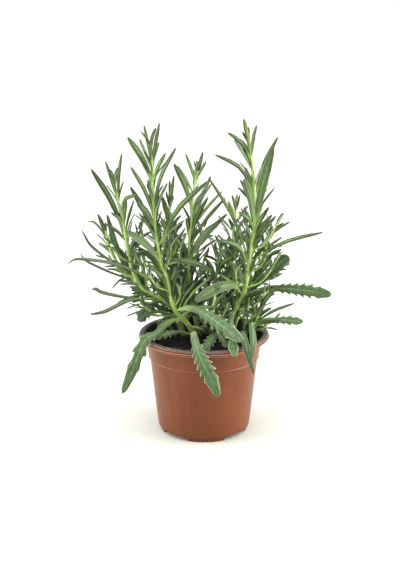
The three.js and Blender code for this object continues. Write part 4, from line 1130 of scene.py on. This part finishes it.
# %% Leaves between the pairs, in the leaf angles and at the growing points
# Where the leaves between the pairs and those in the leaf angles stop, as shares of the leafy length
BETWEEN_TOP, ANGLE_TOP = 0.75, 0.6
BETWEEN_CLEAR, ANGLE_CLEAR, BUNCH_CLEAR, BUNCH = 1.1, 1.0, 0.6, 4
for shoot in SHOOTS:
    fill = shoot["fill"]
    for p, share in enumerate(pair_shares(fill)):
        t = stem_at(shoot["line"], height_at(fill, share))
        half_step = stem_at(shoot["line"], height_at(fill, share) + fill["step"] / 2)
        shorter = 1 - 0.4 * share
        for half in (0, 1):
            around = fill["turn"] + 90 * p + 180 * half
            if share < BETWEEN_TOP:
                place_sprout(shoot, shoot["line"], half_step, around + 45 + draw(-15, 15),
                             fill["open"] * draw(0.7, 1.2), fill["length"] * draw(0.6, 0.95) * shorter,
                             fill["wide"] * draw(0.8, 1.1), draw(1, 3), BETWEEN_CLEAR)
            for offset in (-28, 28) if share < ANGLE_TOP else ():
                place_sprout(shoot, shoot["line"], t, around + offset + draw(-8, 8),
                             fill["open"] * draw(0.35, 0.7), fill["length"] * draw(0.32, 0.6) * shorter,
                             draw(2.6, 3.6), draw(0.3, 1.6), ANGLE_CLEAR)
    for k in range(BUNCH):
        place_sprout(shoot, shoot["line"], 0.985 - 0.008 * k, 90 * k + draw(-15, 15), draw(4, 18),
                     draw(9, 17), draw(2.2, 3), draw(0.2, 0.8), BUNCH_CLEAR)
print("leaves in all:", sum(len(shoot["placed"]) for shoot in SHOOTS))

# %% [markdown]
# ## Leaf and stem finishes
# A lavender leaf is covered in short grey felt. The upper side is mid green with a pale groove along the
# middle, and the underside is paler and greyer with a raised rib. The broad cut leaves are greener sage,
# with deeper green patches on their outer half and a pale rim, a painted highlight where the edge catches
# the light. The narrow leaves get painted shade along the edges that roll down. The thin arched leaves are
# old and greyish. The green of every leaf differs a little, its base is as yellow-green as the stem, and a
# plain leaf's tip is dark and dry. The felt gives a soft sheen instead of gloss. Each vertex stores its
# place on the leaf and the leaf's tint, traits and age, so all of this follows the leaf however it bends.

# %% Felted leaf materials
MOTTLE, FELT = 6 * MM, 0.7 * MM
# A wave of twelve veins along a leaf, each a little later at its edge than at its rib
VEIN_SLANT, VEIN_TURNS = -0.09, 76.0


def leaf_material(name, dark, light, sage, deep, rib, rib_strength, rim_highlight_strength, margin_shade_strength):
    """The felted skin of one side of the leaves."""
    material, tree, shader = new_material(name, Roughness=0.55, IOR=1.42, Specular_IOR_Level=0.25,
                                          Sheen_Weight=0.04, Sheen_Roughness=0.5)
    place = add_node(tree, "TexCoord").outputs["Object"]
    spot = add_node(tree, "Attribute", attribute_name="leaf_place").outputs["Vector"]
    trait = add_node(tree, "Attribute", attribute_name="leaf_trait").outputs["Vector"]
    age = add_node(tree, "Attribute", attribute_name="leaf_age").outputs["Fac"]
    sideways, lengthwise, tint = add_node(tree, "SeparateXYZ", links={0: spot}).outputs
    broad, rib_share, deep_green = add_node(tree, "SeparateXYZ", links={0: trait}).outputs
    mottle = add_node(tree, "TexNoise", {"Scale": 1 / MOTTLE, "Detail": 3.0}, {"Vector": place})
    felt = add_node(tree, "TexNoise", {"Scale": 1 / FELT, "Detail": 2.0}, {"Vector": place})
    across = add_node(tree, "Math", links={0: sideways}, operation="ABSOLUTE")
    rib_away = add_node(tree, "Math", links={0: across, 1: rib_share}, operation="DIVIDE")
    narrow = add_node(tree, "Math", {0: 1.0}, {1: broad}, operation="SUBTRACT")
    slant = add_node(tree, "Math", {1: VEIN_SLANT}, {0: across, 2: lengthwise}, operation="MULTIPLY_ADD")
    turns = add_node(tree, "Math", {1: VEIN_TURNS}, {0: slant}, operation="MULTIPLY")
    wave = add_node(tree, "Math", links={0: turns}, operation="SINE")
    # Masks: what they follow, from where to where, and their strength at either end
    masks = {}
    for mask, follows, start, end, strength_before, strength_after in (
        ("margin", across, 0.45, 0.8, 0.0, margin_shade_strength), ("rim", across, 0.84, 0.98, 0.0, rim_highlight_strength),
        ("rib", rib_away, 0.8, 1.7, rib_strength, 0.0), ("rib_fade", lengthwise, 0.72, 0.96, 1.0, 0.15),
        ("vein", wave, 0.55, 1.0, 0.0, 0.16), ("base", lengthwise, 0.02, 0.3, 0.9, 0.0),
        ("tip", lengthwise, 0.6, 0.97, 0.0, 0.8), ("outer", lengthwise, 0.25, 0.85, 0.25, 1.0),
        ("patch", mottle, 0.35, 0.6, 0.3, 1.0), ("aged", lengthwise, 0.05, 0.45, 0.0, 1.0),
    ):
        masks[mask] = add_node(tree, "MapRange", {"From Min": start, "From Max": end,
                               "To Min": strength_before, "To Max": strength_after}, {"Value": follows})
    # Shares: products of a mask and a trait, or of two masks
    shares = {}
    for share, one, other in (
        ("shade", mottle, tint), ("rib", masks["rib"], masks["rib_fade"]), ("vein", masks["vein"], broad),
        ("rolled_shade", masks["margin"], narrow), ("tip", masks["tip"], narrow), ("rim", masks["rim"], broad),
        ("outer", masks["outer"], deep_green), ("aged", masks["aged"], age),
    ):
        shares[share] = add_node(tree, "Math", links={0: one, 1: other}, operation="MULTIPLY")
    deep_share = add_node(tree, "Math", links={0: shares["outer"], 1: masks["patch"]},
                          operation="MULTIPLY")
    colour = add_node(tree, "Mix", {MIX_UNDER: paint(dark), MIX_OVER: paint(light)},
                      {MIX_SHARE: shares["shade"]}, data_type="RGBA", clamp_factor=True)
    # The margin mask lays painted shade on the edges that roll down, and the rim mask a painted highlight
    # on the edge of broad leaves.
    for share, over in (
        (broad, sage), (deep_share, deep), (shares["rolled_shade"], dark), (shares["vein"], rib),
        (shares["rib"], rib), (masks["base"], "#abc971"), (shares["aged"], "#5c6353"),
        (shares["tip"], "#3a3f31"), (shares["rim"], "#c3c9a6"),
    ):
        colour = add_node(tree, "Mix", {MIX_OVER: paint(over)}, {MIX_SHARE: share, MIX_UNDER: colour},
                          data_type="RGBA")
    bump = add_node(tree, "Bump", {"Strength": 0.5, "Distance": 0.15 * MM}, {"Height": felt})
    feed(tree, shader, {"Base Color": colour, "Normal": bump})
    return material


leaf_upper = leaf_material(
    "felted_leaf_upper_side", dark="#203314", light="#748f4a", sage="#596e4d", deep="#345029",
    rib="#9cb683", rib_strength=0.5, rim_highlight_strength=0.8, margin_shade_strength=0.75)
leaf_under = leaf_material(
    "felted_leaf_underside", dark="#506449", light="#93a882", sage="#6f8866", deep="#5a7450",
    rib="#acc296", rib_strength=0.6, rim_highlight_strength=0.6, margin_shade_strength=0.3)

# %% Stem material
# Young lavender stems are four-cornered, downy and pale yellow-green, and turn olive brown at the soil.
GRAIN, GRAIN_STRETCH, WOODY_TO, GREEN_FROM = 0.8 * MM, 0.15, 88 * MM, 106 * MM
stem_skin, tree, shader = new_material("downy_young_stem", Roughness=0.55, IOR=1.42,
                                       Specular_IOR_Level=0.25)
place = add_node(tree, "TexCoord").outputs["Object"]
height = add_node(tree, "SeparateXYZ", links={0: place}).outputs["Z"]
grain = add_node(tree, "Mapping", {"Scale": (1.0, 1.0, GRAIN_STRETCH)}, {"Vector": place})
streak = add_node(tree, "TexNoise", {"Scale": 1 / GRAIN, "Detail": 2.0}, {"Vector": grain})
woody = add_node(tree, "MapRange", {"From Min": WOODY_TO, "From Max": GREEN_FROM, "To Min": 0.8,
                 "To Max": 0.0}, {"Value": height})
colour = add_node(tree, "Mix", {MIX_UNDER: paint("#9aba58"), MIX_OVER: paint("#c0d98e")},
                  {MIX_SHARE: streak}, data_type="RGBA")
colour = add_node(tree, "Mix", {MIX_OVER: paint("#5c5a34")}, {MIX_SHARE: woody, MIX_UNDER: colour},
                  data_type="RGBA")
bump = add_node(tree, "Bump", {"Strength": 0.3, "Distance": 0.15 * MM}, {"Height": streak})
feed(tree, shader, {"Base Color": colour, "Normal": bump})

# %% [markdown]
# ## Leaf and stem shapes
# A leaf is a flat tube. Its section has a groove over the rib, two low swells and thin edges that roll
# down, and it is thicker at its base. A cut leaf gets a row of the tube at every rise and fall of its
# teeth. Only the edge corners move out to the points of the teeth, and they lean towards the tip.

# %% Leaf shape
PLAIN_SIDES, CUT_SIDES, ARCHED_ROWS = 8, 12, 19
PLAIN_ROWS = [0, 0.1, 0.24, 0.4, 0.56, 0.7, 0.81, 0.9, 0.96, 1]
SPROUT_ROWS, SPROUT_LENGTH = [0, 0.22, 0.5, 0.75, 0.92, 1], 26
# Where the teeth begin and end, how far their valleys and points reach, and how far the points lean
TOOTH_START, TOOTH_END, TOOTH_VALLEY, TOOTH_REACH, TOOTH_LEAN = 0.38, 0.84, 0.66, 1.06, 0.4
# The rows of a cut leaf below its teeth, of one tooth, and above them: their place and the edge's reach
CUT_BASE = [(0, 0.8), (0.08, 0.8), (0.17, 0.75), (0.26, 0.6), (0.33, 0.35)]
TOOTH = [(0.0, 0.15), (0.25, 0.0), (0.5, 0.2), (0.7, 0.85), (0.82, 1.0), (0.94, 0.75)]
CUT_TIP = [(0.86, 0.7), (0.9, 0.7), (0.94, 0.7), (0.97, 0.7), (1, 0.7)]
# The width of the very tip, and where and how fast the fine leaf narrows to it
FINE_TIP, POINT_START, POINT_CUT = 0.22, 0.7, 1.0
# A leaf is broad from one width, sage from another, and an arched one is thin below the last.
BROAD, SAGE_WIDTH, THIN = 6.9, 6.4, 5
# Half the blade's thickness, what its base adds over what share of the length, and the rib's height
BLADE_THICK, BASE_THICK, BASE_SHARE, RIB_HEIGHT = 0.2, 0.28, 0.09, 0.22
# The swell beside the rib and the droop of the edges, as shares of the width
BROAD_SECTION, NARROW_SECTION = (0.1, 0.09), (0.14, 0.16)
BOX_MARGIN = 0.05


def leaf_rows(leaf):
    """Places of the rows along a leaf, and how far the edge reaches at each, from valley 0 to point 1."""
    if leaf["teeth"]:
        pitch = (TOOTH_END - TOOTH_START) / leaf["teeth"]
        teeth = [(TOOTH_START + pitch * (k + share), reach)
                 for k in range(leaf["teeth"]) for share, reach in TOOTH]
        return np.array(CUT_BASE + teeth + CUT_TIP)
    if leaf["via"]:
        places = np.linspace(0, 1, ARCHED_ROWS)
    else:
        places = SPROUT_ROWS if length_of(leaf["path"]) < SPROUT_LENGTH else PLAIN_ROWS
    return np.array([(t, 1) for t in places])


def section(sides, corner):
    """Place across a leaf, from -1 to 1, and side, from -1 under to 1 above, of the corners."""
    half = sides // 2
    step = np.where(corner <= half, corner, sides - corner)
    across = 1 - 2 * step / half
    side = np.where((corner == 0) | (corner == half), 0, np.where(corner < half, 1, -1))
    return across, side


def blade_points(leaf, blank, sides, waviness, phase):
    """Places of all vertices of one leaf, in metres, with their shares across and along it."""
    rows = leaf_rows(leaf)
    t, reach = rows[blank["row"], 0], rows[blank["row"], 1]
    across, side = section(sides, blank["corner"])
    away = np.abs(across)
    forward, over, up = blade_frame(leaf, t)
    narrowed = np.where(t > POINT_START, 1 - POINT_CUT * (t - POINT_START), 1)
    half = blade_width(leaf, t, FINE_TIP) / 2 * narrowed
    edge = TOOTH_VALLEY + (TOOTH_REACH - TOOTH_VALLEY) * reach if leaf["teeth"] else np.ones(len(t))
    inner = np.minimum(away, 0.9 * edge)
    width = half * np.sign(across) * np.where(side == 0, edge, inner if leaf["teeth"] else away)
    swell, droop = BROAD_SECTION if leaf["wide"] > BROAD else NARROW_SECTION
    lift = 2 * half * (swell * np.sin(np.pi * away) - droop * away ** 2)
    thick = BLADE_THICK + BASE_THICK * np.exp(-t / BASE_SHARE)
    rib = np.where((side < 0) & (away < 0.1), RIB_HEIGHT * (1 - 0.7 * t), 0)
    wave = waviness * np.sin(2 * np.pi * (leaf["teeth"] or 2) * t + phase) * away ** 2
    height = lift + side * thick * (1 - away ** 3) - rib + wave
    in_teeth = (side == 0) & bool(leaf["teeth"]) & (t > TOOTH_START - 0.01) & (t < TOOTH_END)
    lean = np.where(in_teeth, half * TOOTH_LEAN * (reach - 0.25), 0)
    points = along(leaf["path"], t) + over * width[:, None] + up * height[:, None] + forward * lean[:, None]
    # A leaf that would leave the solid model's box is shifted back as a whole, so it keeps its shape.
    points += np.maximum(BOX_LOW + BOX_MARGIN - points.min(axis=0), 0)
    points += np.minimum(BOX_HIGH - BOX_MARGIN - points.max(axis=0), 0)
    return points * MM, across, t


# %% Stem shape
STEM_SIDES, TWIG_SIDES, STEM_STEP, TWIG_THINNING = 8, 6, 3.0, 0.45
CORNERS, KNOT_SWELL, KNOT_LENGTH = 0.13, 0.2, 1.6


def stem_points(line, radius, blank, rows, sides, knots):
    """Places of all vertices of a stem, in metres: four-cornered, and swollen at the knots."""
    t = blank["row"] / rows
    angle = 2 * np.pi * blank["corner"] / sides
    middle, forward = along(line, t), heading(line, t)
    side = unit(np.array([1, 0, 0]) - forward * forward[:, :1])
    arm = side * np.cos(angle)[:, None] + np.cross(forward, side) * np.sin(angle)[:, None]
    near = np.abs(middle[:, 2:3] - knots[None, :]).min(axis=1)
    swollen = 1 + KNOT_SWELL * np.exp(-(near / KNOT_LENGTH) ** 2)
    thick = radius(t) * (1 + CORNERS * np.cos(4 * angle)) * swollen
    return (middle + arm * thick[:, None]) * MM


# %% [markdown]
# Each stem becomes one mesh with its twigs and leaves, because they are one piece on the real plant. A
# blank of each kind is modelled once and then copied. Seeded draws give every leaf its own wave, tint
# and age, and a twig has no swollen knots.

# %% Build the twelve leafy stems
LOOKS_SEED, NO_KNOTS = 7, np.array([-99.0])
blanks = {}


def blank_for(sides, rows, flat):
    """The blank tube of a kind, modelled once."""
    key = (sides, rows, flat)
    if key not in blanks:
        blanks[key] = tube_blank(sides, rows, flat)
    return blanks[key]


def lay_stem(bm, line, radius, sides, knots):
    """Lays a stem or twig into a bmesh with the stem skin."""
    rows = math.ceil(length_of(line) / STEM_STEP)
    blank = blank_for(sides, rows, False)
    before = len(bm.faces)
    lay_tube(bm, blank, stem_points(line, radius, blank, rows, sides, knots))
    bm.faces.ensure_lookup_table()
    for face in bm.faces[before:]:
        face.material_index = STEM_SKIN


def lay_leaf(bm, leaf, place_layer, trait_layer, age_layer):
    """Lays one leaf into a bmesh, with its own wave and looks."""
    wide, teeth = leaf["wide"], leaf["teeth"]
    sides = CUT_SIDES if teeth else PLAIN_SIDES
    blank = blank_for(sides, len(leaf_rows(leaf)) - 1, True)
    waviness = looks.uniform(0.25, 0.6) if wide > BROAD else looks.uniform(0, 0.2)
    points, across, t = blade_points(leaf, blank, sides, waviness, looks.uniform(0, 6.28))
    tint = looks.uniform(0.3, 2.0)
    plain_broad = 0.55 if wide > SAGE_WIDTH else max((wide - 5) / 4, 0)
    broad = looks.uniform(0.8, 1) if teeth else plain_broad
    deep = looks.uniform(0.6, 0.9) if teeth else looks.uniform(0.7, 0.95) * (broad > 0)
    age = 0.8 if leaf["via"] and wide < THIN else looks.uniform(0, 1) ** 3 * 0.5 * (broad == 0)
    rib_share = min(max(0.5 / wide, 0.04), 0.22)
    for vert, a, b in zip(lay_tube(bm, blank, points), across, t):
        vert[place_layer] = (a, b, tint)
        vert[trait_layer] = (broad, rib_share, deep)
        vert[age_layer] = age


looks = np.random.default_rng(LOOKS_SEED)
for shoot in SHOOTS:
    bm = bmesh.new()
    layers = [bm.verts.layers.float_vector.new("leaf_place"),
              bm.verts.layers.float_vector.new("leaf_trait"), bm.verts.layers.float.new("leaf_age")]
    knots = np.array([height_at(shoot["fill"], share) for share in pair_shares(shoot["fill"])])
    lay_stem(bm, shoot["line"], lambda t: stem_radius(shoot, t), STEM_SIDES, knots)
    for line in shoot["twigs"]:
        lay_stem(bm, line, lambda t: TWIG_RADIUS - TWIG_THINNING * t, TWIG_SIDES, NO_KNOTS)
    for leaf in shoot["placed"]:
        lay_leaf(bm, leaf, *layers)
    hang(bm, shoot["name"].replace("shoot", "leafy_stem"), [leaf_upper, leaf_under, stem_skin],
         shoot["name"])
